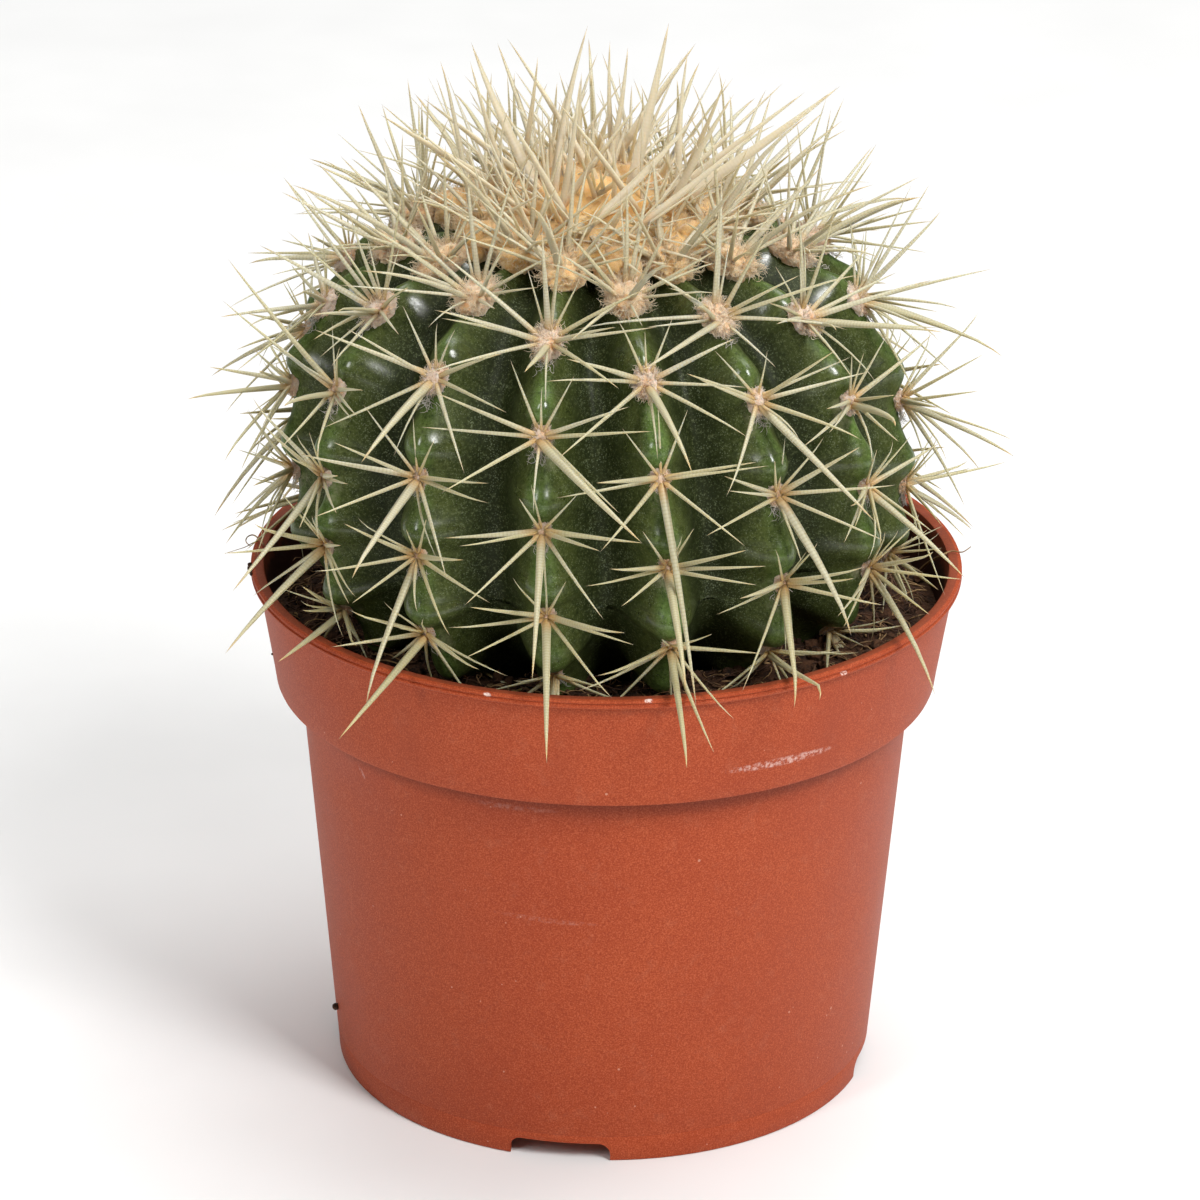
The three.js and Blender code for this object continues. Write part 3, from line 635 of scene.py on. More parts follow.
stem = added("green_stem", bpy.ops.mesh.primitive_uv_sphere_add, segments=RIBS * COLUMNS_PER_RIB,
             ring_count=STEM_RINGS, radius=1)
unit = points_of(stem)
polar = np.arccos(np.clip(unit[:, 2], -1, 1)) / math.pi
turn = (np.arctan2(unit[:, 0], -unit[:, 1]) / (2 * math.pi)) % 1
points, crest_share, full_share = skin(turn * RIBS, polar * CREST_LENGTH)
uneven = np.array([noise.noise(Vector(point) / SKIN_UNEVEN_SIZE) for point in points])
outward = points - np.array(STEM_PLACE + UP * STEM_WAIST)
outward /= np.linalg.norm(outward, axis=1, keepdims=True)
points += outward * (SKIN_UNEVEN * uneven)[:, None]
stem.data.vertices.foreach_set("co", (points * MM).ravel())
for name, values in (("crest", crest_share), ("full", full_share), ("age", polar)):
    keep_attribute(stem.data, name, values)
close_up(stem)
keep_attribute(stem.data, "upward", [vertex.normal.z for vertex in stem.data.vertices])
smooth(stem)
print("stem spans", [round(value, 1) for value in np.ptp(points, axis=0)], "mm")

# %% [markdown]
# ### Waxy green skin
# The skin of a ball cactus is a tough cuticle with a thin coat of wax. It is dark green, nearly black in the
# grooves and fresher on the crests, with many fine pale dots, each a group of pores, and dust and shed wool
# around the areoles. The wax gives soft white highlights on the swellings, where they face up.

# %% Skin colour
PORE = 0.34

skin_wax, tree, shader, place, crest, full, age, upward, blotch, vein, fleck, pore_field, dusting = new_material(
    "waxy_green_cuticle", attributes=("crest", "full", "age", "upward"),
    noises=((9, 4, 0.6), (1.4, 3, 0.6), (0.45, 3, 0.7), (2.5, 2, 0.5), (6, 5, 0.7)))
on_crest, ridge, swollen = [
    add(tree, "MapRange", *measure, interpolation_type="SMOOTHSTEP")
    for measure in ((crest, 0.1, 0.95), (crest, 0.78, 1.0, 0, 0.75), (full, 0.45, 0.9))]
pores = add(tree, "TexVoronoi", Vector=place, Scale=per_mm(PORE))
pore = add(tree, "Math", pores, share_of(tree, (pore_field, 0.35, 0.7, 0.12, 0.34)), operation="LESS_THAN")
colour = tinted(tree, linear(0x272D13), (0x4A5326, on_crest),
                (0x62803C, ridge, (blotch, 0.4, 0.62, 0.25, 1), (age, 0.18, 0.4, 0.4, 1)),
                (0x1A240C, (vein, 0.42, 0.66, 0, 0.4)), (0x8A9468, (fleck, 0.54, 0.7, 0, 0.3)),
                (0x10170A, (fleck, 0.46, 0.32, 0, 0.6)), (0x96A080, (pore, 0, 1, 0, 0.28)),
                (0xA79C86, (dusting, 0.5, 0.66, 0, 0.6), (full, 0.25, 0, 0, 1), (crest, 0.75, 0.95)))

# %% Skin surface
bump = add(tree, "Bump", Height=vein, Strength=0.35, Distance=0.12 * MM)
facing = add(tree, "LayerWeight", 0.5).node.outputs["Facing"]
waxed = share_of(tree, swollen, (crest, 0.2, 0.55), (facing, 0.6, 0.92, 1, 0), (upward, -0.15, 0.15))
fill(shader, {"Base Color": colour, "Normal": bump, "IOR": 1.45,
              "Roughness": share_of(tree, (waxed, 0, 1, 0.46, 0.2)),
              "Specular IOR Level": share_of(tree, (waxed, 0, 1, 0.16, 0.75))})
finish_piece(stem, skin_wax, "stem")

# %% [markdown]
# ## Where a spine may go
# A spine keeps clear of the skin, of the peat and of the pot. The two tests below measure a point against
# the crests' outline, and against the pot's wall and the peat.

# %% Clearance tests
SOIL_AT_WALL = 81.6
SOIL_AT_STEM = 83.2
MOUND = 2.4
MOUND_FOOT = 53
MOUND_WIDTH = 9
RIM_RADIUS = 60
POT_INSIDE = 54.7
CLEAR = 1.2


def over_crests(points):
    """How far points lie outside the crests' outline, along the lines from the stem's middle."""
    points = np.atleast_2d(points) - np.array(STEM_PLACE)
    radius = np.hypot(points[:, 0], points[:, 1])
    rise = points[:, 2] - STEM_WAIST
    power = np.where(rise >= 0, CROWN_POWER, BASE_POWER)
    reach = np.where(rise >= 0, CROWN_RISE, BASE_DROP)
    total = (radius / STEM_RADIUS) ** power + (np.abs(rise) / reach) ** power
    return np.hypot(radius, rise) * (1 - total ** (-1 / power))


def soil_height(x, y):
    """The height of the peat, which is heaped against the stem."""
    radius = np.hypot(x, y)
    near = np.clip((MOUND_FOOT - radius) / MOUND_WIDTH, 0, 1)
    heap = MOUND * near ** 2 * (3 - 2 * near)
    return SOIL_AT_STEM + (SOIL_AT_WALL - SOIL_AT_STEM) * (radius / RIM_RADIUS) ** 2 + heap


def over_pot(points):
    """The smallest height of points over the peat and the rim, where they are over the pot at all."""
    points = np.atleast_2d(points)
    radius = np.hypot(points[:, 0], points[:, 1])
    floor = np.where(radius > POT_INSIDE, RIM_HEIGHT, soil_height(points[:, 0], points[:, 1]))
    return np.where(radius < RIM_RADIUS + CLEAR, points[:, 2] - floor, CLEAR + 1)


# %% [markdown]
# ## One spine
# A spine is a flattened horny needle: it is thickest just over its foot, tapers slowly, and then sharply
# into its tip. It is modelled once, upright and one unit long, from a six-sided circle that is extruded and
# scaled ring by ring. It has few faces, because there are more than a thousand of it.

# %% The spine that all are copied from
SPINE_RINGS = ((0.0, 0.92), (0.04, 1.0), (0.2, 0.89), (0.4, 0.75), (0.6, 0.57), (0.78, 0.38), (0.91, 0.19), (1, 0))
SPINE_SIDES = 6


def extruded(name, sides, rings):
    """A model one unit long, from a circle that is extruded through pairs of height and radius."""
    model = added(name, bpy.ops.mesh.primitive_circle_add, vertices=sides, radius=rings[0][1], fill_type="NGON")
    edit(model)
    for (z0, r0), (z1, r1) in zip(rings, rings[1:]):
        bpy.ops.mesh.extrude_region_move(TRANSFORM_OT_translate={"value": (0, 0, z1 - z0)})
        if r1:
            bpy.ops.transform.resize(value=(r1 / r0, r1 / r0, 1), center_override=(0, 0, z1))
        else:
            bpy.ops.mesh.merge(type="CENTER")
    leave_edit()
    close_up(model)
    smooth(model)
    print(name, "has", len(model.data.polygons), "faces")
    return model


needle = extruded("needle", SPINE_SIDES, SPINE_RINGS)

# %% [markdown]
# ### Bending a copy
# Spines, tufts, fibres and crumbs are copies of a few models, and each copy has its own mesh. The centre line
# of a bent copy runs from the foot to the tip, bowed to one side and hooked a little at the end, and its
# section is kept across that line. How far along a point is, in millimetres and as a share, and the spine's
# own tone and age go into attributes for the material.

# %% Copying and joining
def copy_of(model, points, **numbers):
    """A copy of a model with its own points, in millimetres, and its own numbers."""
    mesh = model.data.copy()
    mesh.vertices.foreach_set("co", (points * MM).ravel())
    for name, values in numbers.items():
        keep_attribute(mesh, name, values)
    copy = bpy.data.objects.new(model.name, mesh)
    bpy.context.scene.collection.objects.link(copy)
    return copy


def join(copies, name):
    """Joins copies into one piece and drops the meshes that they came with."""
    meshes = [copy.data for copy in copies[1:]]
    activate(copies[0])
    for copy in copies:
        copy.select_set(True)
    bpy.ops.object.join()
    copies[0].name = copies[0].data.name = name
    for mesh in meshes:
        bpy.data.meshes.remove(mesh)
    return copies[0]


# %% A bent copy
HOOK_STARTS = 0.7


def bent_copy(model, foot, tip, side, width, thickness, tone, age, bow, hook=(0, 0, 0)):
    """A copy of an upright model one unit long, laid along a bowed line from foot to tip."""
    foot, tip, side, bow, hook = [np.array(vector) for vector in (foot, tip, side, bow, hook)]
    shape = points_of(model)
    share = shape[:, 2:3]
    chord = tip - foot
    late = np.clip((share - HOOK_STARTS) / (1 - HOOK_STARTS), 0, 1)
    centre = foot + share * chord + 4 * share * (1 - share) * bow + late ** 2 * hook
    tangent = chord + 4 * (1 - 2 * share) * bow + 2 * late * hook / (1 - HOOK_STARTS)
    tangent /= np.linalg.norm(tangent, axis=1, keepdims=True)
    across = side - tangent * (tangent @ side)[:, None]
    across /= np.linalg.norm(across, axis=1, keepdims=True)
    upright = np.cross(tangent, across)
    points = centre + across * shape[:, 0:1] * width / 2 + upright * shape[:, 1:2] * thickness / 2
    return copy_of(model, points, share=share[:, 0], along=share[:, 0] * np.linalg.norm(chord), tone=tone, age=age)


# %% [markdown]
# ## The spines of an areole
# An areole of this plant carries about eleven spines, spread like a star. They are named like the points of
# a compass, with the crown in the north. The strong flattened central spine C points out and down. SW and SE
# lie to its left and right, W, WNW, E and ENE on each side, and the short thin NNW, NNE and N point up. S is
# a short one down the crest. A turn is measured in the skin's plane from straight down, and a lift is the
# angle off the skin. Each row has the turn, lift, length, width, thickness and bow.

# %% The plan of an areole
SPINE_PLAN = {
    "C": (0, 42, 28, 1.6, 1.2, 0.8),
    "SW": (-50, 20, 21, 0.85, 0.7, 0.3),
    "SE": (50, 20, 21, 0.85, 0.7, 0.3),
    "W": (-84, 17, 17.5, 0.8, 0.65, 0.25),
    "E": (84, 17, 17.5, 0.8, 0.65, 0.25),
    "WNW": (-107, 24, 16.5, 1.0, 0.9, 0.25),
    "ENE": (107, 24, 16.5, 1.0, 0.9, 0.25),
    "NNW": (-150, 32, 11, 0.6, 0.5, 0.15),
    "NNE": (150, 32, 11, 0.6, 0.5, 0.15),
    "N": (178, 38, 9, 0.5, 0.45, 0.1),
    "S": (4, 9, 13.5, 0.6, 0.5, 0.6),
}
YOUNG_EXTRAS = {
    "inner_left": (-65, 42, 22, 1.1, 0.8, 0.2),
    "inner_right": (65, 42, 22, 1.1, 0.8, 0.2),
    "inner_top": (180, 60, 20, 1.1, 0.8, 0.2),
    "outer_top": (165, 40, 20, 0.9, 0.7, 0.2),
}
YOUNG_ENDS = 50

# %% [markdown]
# The spines that stand out in the photograph are aimed at the pixels of their tips. The line of sight
# through a tip passes two points that lie a spine's length from the foot, and the one that stands out
# further from the skin is taken. The keys below are the rib and the areole, counted from 0 and from the
# crown. Two central spines low in front are also hooked downwards.

# %% Tips that the photograph shows
SEEN_TIPS = {
    (0, 1): dict(WNW=(283, 177), NNW=(301, 185), W=(287, 231), C=(311, 313), SW=(313, 340), N=(401, 240),
                 NNE=(367, 236)),
    (0, 2): dict(WNW=(228, 259), W=(222, 300), NNW=(262, 340), C=(284, 406), S=(352, 419), N=(332, 322),
                 SW=(280, 449), SE=(314, 459)),
    (0, 3): dict(WNW=(249, 399), W=(261, 424), NNW=(282, 453), C=(232, 592), SW=(299, 529), S=(319, 541),
                 SE=(337, 514), E=(346, 484)),
    (0, 4): dict(W=(221, 554), WNW=(251, 526), C=(225, 654), S=(342, 639), SE=(349, 604)),
    (0, 5): dict(C=(278, 662), W=(301, 612), WNW=(302, 586)),
    (1, 2): dict(C=(361, 463), WNW=(313, 329), W=(345, 327)),
    (1, 3): dict(C=(349, 578), WNW=(298, 455), W=(333, 442), NNW=(363, 404), SW=(312, 518), N=(413, 415),
                 S=(438, 561)),
    (1, 4): dict(C=(363, 706), W=(313, 573), WNW=(343, 523), NNW=(355, 520), SW=(351, 604), N=(406, 529),
                 S=(416, 612), SE=(448, 636)),
    (1, 5): dict(C=(338, 740), W=(331, 647), WNW=(349, 614), NNW=(383, 604)),
    (2, 1): dict(WNW=(437, 250), W=(440, 318), N=(543, 235)),
    (2, 2): dict(C=(642, 543), WNW=(434, 392), W=(420, 427), SW=(441, 493), ENE=(627, 407), E=(652, 431),
                 NNW=(510, 359), S=(533, 512)),
    (2, 3): dict(C=(532, 681), SW=(464, 606), SE=(604, 620), W=(459, 547), WNW=(443, 538), ENE=(643, 543),
                 E=(600, 551), NNW=(519, 498), N=(531, 484), NNE=(579, 493)),
    (2, 4): dict(C=(546, 764), WNW=(469, 607), W=(449, 629), SW=(465, 658), ENE=(624, 634), E=(634, 645),
                 SE=(610, 699), NNW=(513, 581)),
    (3, 0): dict(N=(620, 189), WNW=(568, 232), ENE=(671, 223), W=(548, 260), SW=(570, 341)),
    (3, 2): dict(C=(697, 708), SW=(600, 552), SE=(745, 546), W=(556, 498), WNW=(596, 483), NNW=(622, 428),
                 N=(658, 400), NNE=(688, 409), ENE=(757, 462), E=(769, 466)),
    (3, 3): dict(C=(686, 690), WNW=(611, 570), W=(586, 587), SW=(622, 607), NNE=(694, 528), ENE=(747, 550),
                 E=(767, 566), SE=(757, 585)),
    (3, 4): dict(C=(688, 771)),
    (4, 1): dict(W=(575, 327), SW=(647, 327), NNW=(671, 286), N=(717, 221), ENE=(768, 230), E=(800, 275),
                 C=(640, 372)),
    (4, 2): dict(ENE=(836, 350), NNE=(851, 357), SE=(862, 438), S=(799, 439), NNW=(714, 350), W=(700, 380)),
    (4, 3): dict(C=(854, 635), E=(898, 486), N=(785, 438), NNE=(825, 438), ENE=(860, 447), WNW=(724, 476),
                 W=(731, 491), SW=(706, 536), SE=(885, 541), S=(803, 563)),
    (4, 4): dict(C=(800, 705), NNE=(819, 544), ENE=(865, 568), E=(855, 579), SE=(885, 606)),
    (4, 5): dict(C=(830, 687)),
    (5, 2): dict(C=(899, 424), SE=(899, 442), E=(895, 395), SW=(803, 447), S=(872, 464)),
    (5, 3): dict(C=(965, 578), E=(935, 533), SW=(844, 543), SE=(884, 546), S=(869, 561)),
    (5, 4): dict(C=(935, 695), SW=(837, 617), SE=(930, 615), E=(965, 580), ENE=(937, 554)),
    (6, 2): dict(C=(1006, 353), ENE=(945, 209), WNW=(932, 182), NNW=(912, 184), W=(992, 269), E=(962, 307),
                 SW=(942, 337), NNE=(849, 207), N=(864, 231), SE=(917, 398)),
    (6, 3): dict(C=(1015, 457), ENE=(984, 312), E=(984, 354), W=(979, 391), SW=(1015, 439), N=(939, 406),
                 SE=(965, 507)),
    (6, 4): dict(E=(1009, 462), ENE=(972, 462), WNW=(973, 468), C=(972, 530)),
    (7, 1): dict(ENE=(919, 177), C=(921, 197), SE=(934, 221), W=(873, 160)),
    (8, 1): dict(WNW=(844, 98), NNW=(827, 96)),
    (12, 0): dict(N=(447, 75), NNW=(406, 92)),
    (13, 0): dict(N=(382, 135), NNW=(337, 133), WNW=(316, 165)),
    (13, 1): dict(W=(247, 253), WNW=(283, 177)),
    (13, 3): dict(C=(214, 517)),
    (14, 2): dict(C=(220, 317), SW=(245, 324)),
    (14, 3): dict(C=(185, 398), WNW=(209, 367), SW=(222, 461), NNW=(272, 364)),
}
HOOKED_CENTRALS = {(4, 4): Vector((-0.9, 0, -0.6)), (4, 5): Vector((-1.6, 0, -2.4))}


# %% Aiming at a pixel
def aimed(foot, out, pixel, length):
    """The point on the line of sight through a pixel, a length from the foot, that stands out further."""
    towards = sight(pixel)
    nearest = (foot - EYE).dot(towards)
    gap = (EYE + towards * nearest - foot).length
    half = math.sqrt(max(0, length ** 2 - gap ** 2))
    return max((EYE + towards * (nearest + shift) for shift in (-half, half)), key=lambda tip: tip.dot(out))


# %% Keeping clear
AIMED_LENGTHS = (1, 1.08, 0.92, 1.16, 0.85, 1.25, 1.35)
SAMPLES = np.linspace(0.0, 1.0, 13)[:, None]
NEAR_WOOL = 4
BRUSH_MIDDLE = (600, 420)
BRUSH_RADIUS = 398


def is_clear(foot, tip, bow):
    """Whether a bowed line keeps clear of the skin past the wool, and of the peat and the pot."""
    points = np.array(foot) + SAMPLES * np.array(tip - foot) + 4 * SAMPLES * (1 - SAMPLES) * np.array(bow)
    return bool((over_crests(points[NEAR_WOOL:]) > CLEAR).all() and (over_pot(points) > CLEAR).all())


def aim_clear(foot, out, pixel, length, bow):
    """A tip aimed at a pixel, of the first length that keeps the spine clear of its neighbours."""
    tips = [aimed(foot, out, pixel, length * scale) for scale in AIMED_LENGTHS]
    return next((tip for tip in tips if is_clear(foot, tip, bow)), tips[0])


def in_outline(tip):
    """Whether a tip shows inside the round outline that the spines have in the photograph."""
    return (seen_at(tip) - Vector(BRUSH_MIDDLE)).length < BRUSH_RADIUS


# %% Laying a spine
LIFTS = (0, 5, 10, 15, 20, 25, 30, 35, 40, 50, 60)
STEEPEST = 86
LENGTHS = (1, 0.85, 0.7, 0.55, 0.4)


def laid(foot, out, flat, lift, length, bow):
    """The tip and the bow of a spine, raised and then shortened as little as clears its neighbours.

    Low areoles are so near the peat that no spine there is clear, and theirs stay short and end in the peat.
    """
    for scale in LENGTHS:
        for more in LIFTS:
            rise = math.radians(min(STEEPEST, lift + more))
            tip = foot + (flat * math.cos(rise) + out * math.sin(rise)) * (length * scale)
            over = (out * math.cos(rise) - flat * math.sin(rise)) * (bow * scale)
            if is_clear(foot, tip, over) and in_outline(tip):
                return tip, over
    return tip, over


# %% The size of an areole's wool
WOOL_AT = (0, 30, 38, 47, 54, 65, 80, 103)
WOOL_HALF_WIDTHS = (5.2, 3.7, 2.9, 2.35, 1.85, 1.6, 1.4, 1.25)
WOOL_LONGER = 1.35
WOOL_LOWER = 0.68


def wool_size(distance):
    """Half the width, half the length and the height of an areole's cushion, as measured in the photograph."""
    half = float(np.interp(distance, WOOL_AT, WOOL_HALF_WIDTHS))
    return half, half * WOOL_LONGER, half * WOOL_LOWER


# %% All the spines of one areole
SPINE_FOOT = 0.8
FOOT_SPREAD = 0.4
TURN_SPREAD = (-7, 7)
LIFT_SPREAD = (-5, 5)
LENGTH_SHARES = (0.86, 1.12)
BOW_SHARES = (-0.6, 2.2)
WIDTH_SHARES = (0.85, 1.12)
YOUNG_LIFT = 24
EXTRAS_FROM = 0.1
NO_S_FROM = 0.4
HOOKS = (0, 0, 0, 0.4, 0.8)
HOOK_FORWARD = 0.4


def areole_spines(rib, index, draw):
    """The spines of one areole, as bent copies of the needle."""
    distance = areoles[rib][index]
    place, out, down, across = crest_frame(rib, distance)
    youth = max(0, 1 - distance / YOUNG_ENDS)
    plan = {**SPINE_PLAN, **(YOUNG_EXTRAS if youth > EXTRAS_FROM else {})}
    tips = SEEN_TIPS.get((rib, index), {})
    copies = []
    for role, (turn, lift, length, width, thickness, bow) in plan.items():
        turn = math.radians(turn + draw.uniform(*TURN_SPREAD))
        lift = lift + draw.uniform(*LIFT_SPREAD) + YOUNG_LIFT * youth
        length *= draw.uniform(*LENGTH_SHARES)
        bow *= draw.uniform(*BOW_SHARES)
        thick = draw.uniform(*WIDTH_SHARES)
        tone = draw.random()
        if role == "S" and youth > NO_S_FROM:
            continue
        flat = down * math.cos(turn) + across * math.sin(turn)
        foot = place + out * SPINE_FOOT + flat * (FOOT_SPREAD * wool_size(distance)[0])
        if role in tips:
            over = out * bow
            tip = aim_clear(foot, out, tips[role], length, over)
        else:
            tip, over = laid(foot, out, flat, lift, length, bow)
        hook = (flat * HOOK_FORWARD - out) * draw.choice(HOOKS)
        if role == "C":
            hook = HOOKED_CENTRALS.get((rib, index), hook)
        copies.append(bent_copy(needle, foot, tip, out.cross(flat), width * thick, thickness * thick, tone,
                                distance / LAST_AREOLE, over, hook))
    return copies


# %% [markdown]
# ### Straw-coloured horn
# A spine is dead horny tissue. It is pale straw with fine cross-bands where it grew day by day, more orange
# at its foot and amber brown at its tip. The bands are 0.6 mm apart, which is what the photograph shows.
# Horn lets a little light through, and its surface is smooth and slightly shiny.

# %% Spine material
BAND = 0.6

straw_horn, tree, shader, place, share, along, own_tone, age, wander, streaks = new_material(
    "straw_coloured_horn", attributes=("share", "along", "tone", "age"), noises=((1.2, 2, 0.5), (0.5, 2, 0.5)))
wave = add(tree, "Math", along, 2 * math.pi / BAND, operation="MULTIPLY")
wave = add(tree, "Math", wave, wander, operation="ADD")
wave = add(tree, "Math", wave, operation="SINE")
colour = tinted(tree, linear(0xC0BCA6), (0xB6B08F, own_tone), (0xD3C7AE, (age, 0, 0.4, 0.9, 0)),
                (0xB4AC84, (age, 0.45, 0.95, 0, 0.7)),
                (0x988C60, (wave, -0.2, 1.0), (age, 0.05, 0.4, 0.08, 0.34)),
                (0xC9964E, (along, 0.6, 3.6, 0.6, 0)), (0xA8793C, (share, 0.82, 1.0, 0, 0.85)))
bump = add(tree, "Bump", Height=wave, Strength=0.15, Distance=0.03 * MM)
fill(shader, {"Base Color": colour, "Roughness": share_of(tree, (streaks, 0.3, 0.7, 0.36, 0.52)), "Normal": bump,
              "IOR": 1.54, "Subsurface Weight": 0.8, "Subsurface Radius": (1.0, 0.85, 0.6),
              "Subsurface Scale": 1.0 * MM})

# %% The rows of spines
for rib in range(RIBS):
    draw = random.Random(100 + rib)
    copies = [copy for index in range(len(areoles[rib])) for copy in areole_spines(rib, index, draw)]
    finish_piece(join(copies, f"spines_{rib + 1:02d}"), straw_horn, f"spine_row_{rib + 1:02d}")

# %% [markdown]
# ## Wool
# Each areole is a cushion of felted wool that the spines grow out of. It is large and fluffy on the young
# areoles near the crown and worn down to a small knot low on the stem. A cushion is an ico sphere that is
# flattened and displaced by noise, with short curly fibres standing out of it. A real fibre is 0.05 mm
# thick, and it is drawn more than twice as thick as that, because it would not show otherwise.

# %% The tuft and the fibre that all are copied from
FIBRE_SIDES = 3
FIBRE_RINGS = ((0, 1), (0.25, 1), (0.5, 1), (0.75, 1), (1, 0.3))
FIBRE_THICKNESS = 0.12

tuft = added("tuft", bpy.ops.mesh.primitive_ico_sphere_add, subdivisions=4, radius=1)
smooth(tuft)
tuft_points = points_of(tuft)
fibre = extruded("fibre", FIBRE_SIDES, FIBRE_RINGS)

# %% A cushion of felt
FELT_SHARE = 0.92
LUMPS = ((0.18, 1.6, RIGHT), (0.1, 5.5, -FRONT), (0.16, 12, UP))
TUFT_LIFT = 0.1


def tuft_copy(place, out, down, across, half_width, half_length, height, seed, age, felt=FELT_SHARE):
    """A cushion of felt on the skin, lumpy all over. Its felt reaches to a share of the cushion's size."""
    lumps = np.array([sum(size * noise.noise(Vector(point) * scale + axis * seed) for size, scale, axis in LUMPS)
                      for point in tuft_points])
    basis = np.array([down * half_length, across * half_width, out * height])
    points = np.array(place + out * height * TUFT_LIFT) + (tuft_points * (felt + lumps)[:, None]) @ basis
    # A cushion's tone follows its lumps, so the wool's colour is painted paler where it bulges and darker in its
    # dents: painted light and shade.
    return copy_of(tuft, points, share=np.clip(tuft_points[:, 2], 0, 1), tone=0.5 + lumps, age=age)


# %% A curly fibre
CURL_BOW = (0.1, 0.5)
CURL_HOOK = (-0.6, 0.6)


def curl(foot, direction, length, thickness, draw, age):
    """A curly fibre that starts in a direction."""
    aside = Vector((draw.uniform(-1, 1), draw.uniform(-1, 1), draw.uniform(-1, 1))).cross(direction)
    aside.normalize()
    bow = aside * (length * draw.uniform(*CURL_BOW))
    hook = direction.cross(aside) * (length * draw.uniform(*CURL_HOOK))
    return bent_copy(fibre, foot, foot + direction * length, aside, thickness, thickness, draw.random(), age,
                     bow, hook)


# %% Fluff on a cushion
FLUFF_WITHIN = 0.85
FLUFF_LENGTH = (0.3, 0.85)
FLUFF_POWER = 0.8
FLUFF_THICKNESS = (0.7, 1.2)
WEAR = 0.45
WEAR_STARTS = 0.25
WEAR_GROWS = 0.3


def fluff(place, out, down, across, half_width, half_length, height, count, draw, age):
    """Curly fibres that stand out of a cushion all over its upper half, and are shorter on an older one."""
    worn = 1 - WEAR * min(1, max(0, (age - WEAR_STARTS) / WEAR_GROWS))
    copies = []
    for _ in range(count):
        angle = draw.uniform(0, 2 * math.pi)
        rise = draw.uniform(0, 1)
        ring = math.sqrt(1 - rise ** 2)
        towards = down * math.cos(angle) * ring + across * math.sin(angle) * ring + out * rise
        flat = down * math.cos(angle) * half_length + across * math.sin(angle) * half_width
        foot = place + flat * (ring * FLUFF_WITHIN) + out * (rise * height * FLUFF_WITHIN)
        length = draw.uniform(*FLUFF_LENGTH) * half_width ** FLUFF_POWER * worn
        thickness = FIBRE_THICKNESS * draw.uniform(*FLUFF_THICKNESS)
        copies.append(curl(foot, towards, length, thickness, draw, age))
    return copies


# %% [markdown]
# ### Felted wool
# The wool is a mat of crimped hairs. It is golden in the crown, and it fades to a pinkish cream and then to
# a worn buff down the ribs. It scatters light, so it has no highlight. Its colour is painted darker in the
# low parts of its crimp relief and paler on the high parts, and a cushion is painted paler where its lumps
# bulge: painted shade and painted light.

# %% Wool material
CRIMP = 0.5

golden_felt, tree, shader, place, along, own_tone, age, clump = new_material(
    "golden_plant_wool", attributes=("along", "tone", "age"), noises=((1.6, 3, 0.5),))
crimp_and_painted_shade = add(tree, "TexNoise", Vector=place, Scale=per_mm(CRIMP), Detail=5.0, Roughness=0.8, Distortion=1.5)
# Painted shade and light: the crimp noise that raises the bump also darkens its low parts and lightens its high
# parts.
colour = tinted(tree, linear(0xE6C2A4), (0xF8E6D6, (own_tone, 0.2, 0.8)), (0xF0C884, (age, 0.2, 0.42, 0.9, 0)),
                (0xCE9E74, (age, 0.45, 0.8, 0, 0.55)), (0xEFA64C, (clump, 0.5, 0.64, 0, 0.5)),
                (0xCB8C4A, (crimp_and_painted_shade, 0.38, 0.5, 0.7, 0)), (0xF4E2CA, (crimp_and_painted_shade, 0.53, 0.62, 0, 0.5)),
                (0xFBE4B4, (along, 0, 0.6, 0, 0.5)), (0xE2A84A, (age, 0, 0.25, 0.6, 0)),
                (0xC4B8AC, (age, 1.1, 1.9, 0, 0.9)))
bump = add(tree, "Bump", Height=crimp_and_painted_shade, Strength=0.8, Distance=0.3 * MM)
fill(shader, {"Base Color": colour, "Roughness": 0.95, "Normal": bump, "IOR": 1.5, "Sheen Weight": 0.5,
              "Subsurface Weight": 0.4, "Subsurface Radius": (1.0, 0.75, 0.45), "Subsurface Scale": 0.8 * MM})

# %% Loose wool
LOOSE_AGE = 2.0
LOOSE_HAIRS = (14, 34)
LOOSE_BELOW = (0.9, 1.9)
LOOSE_ASIDE = 0.7
LOOSE_LIFT = 0.15
LOOSE_LENGTH = (0.8, 2.2)
LOOSE_THICKNESS = 0.8 * FIBRE_THICKNESS


def loose_wool(place, out, down, across, half, draw):
    """A few grey hairs that have come off an areole and lie on the crest below it."""
    copies = []
    for _ in range(draw.randint(*LOOSE_HAIRS)):
        foot = place + down * (half * draw.uniform(*LOOSE_BELOW))
        foot += across * draw.gauss(0, LOOSE_ASIDE) + out * LOOSE_LIFT
        towards = down * draw.uniform(0.2, 1) + across * draw.uniform(-0.8, 0.8) + out * LOOSE_LIFT
        length = draw.uniform(*LOOSE_LENGTH)
        copies.append(curl(foot, towards.normalized(), length, LOOSE_THICKNESS, draw, LOOSE_AGE))
    return copies


# %% The rows of wool
LOOSE_SHARE = 0.55
MOST_FLUFF = 460
FLUFF_LOST = 360

for rib in range(RIBS):
    draw = random.Random(300 + rib)
    copies = []
    for index, distance in enumerate(areoles[rib]):
        spot = crest_frame(rib, distance)
        size = wool_size(distance)
        age = distance / LAST_AREOLE
        copies.append(tuft_copy(*spot, *size, draw.uniform(0, 99), age))
        copies += fluff(*spot, *size, int(MOST_FLUFF - FLUFF_LOST * age), draw, age)
        if index and draw.random() < LOOSE_SHARE:
            copies += loose_wool(*spot, size[0], draw)
    finish_piece(join(copies, f"wool_{rib + 1:02d}"), golden_felt, f"spine_row_{rib + 1:02d}")

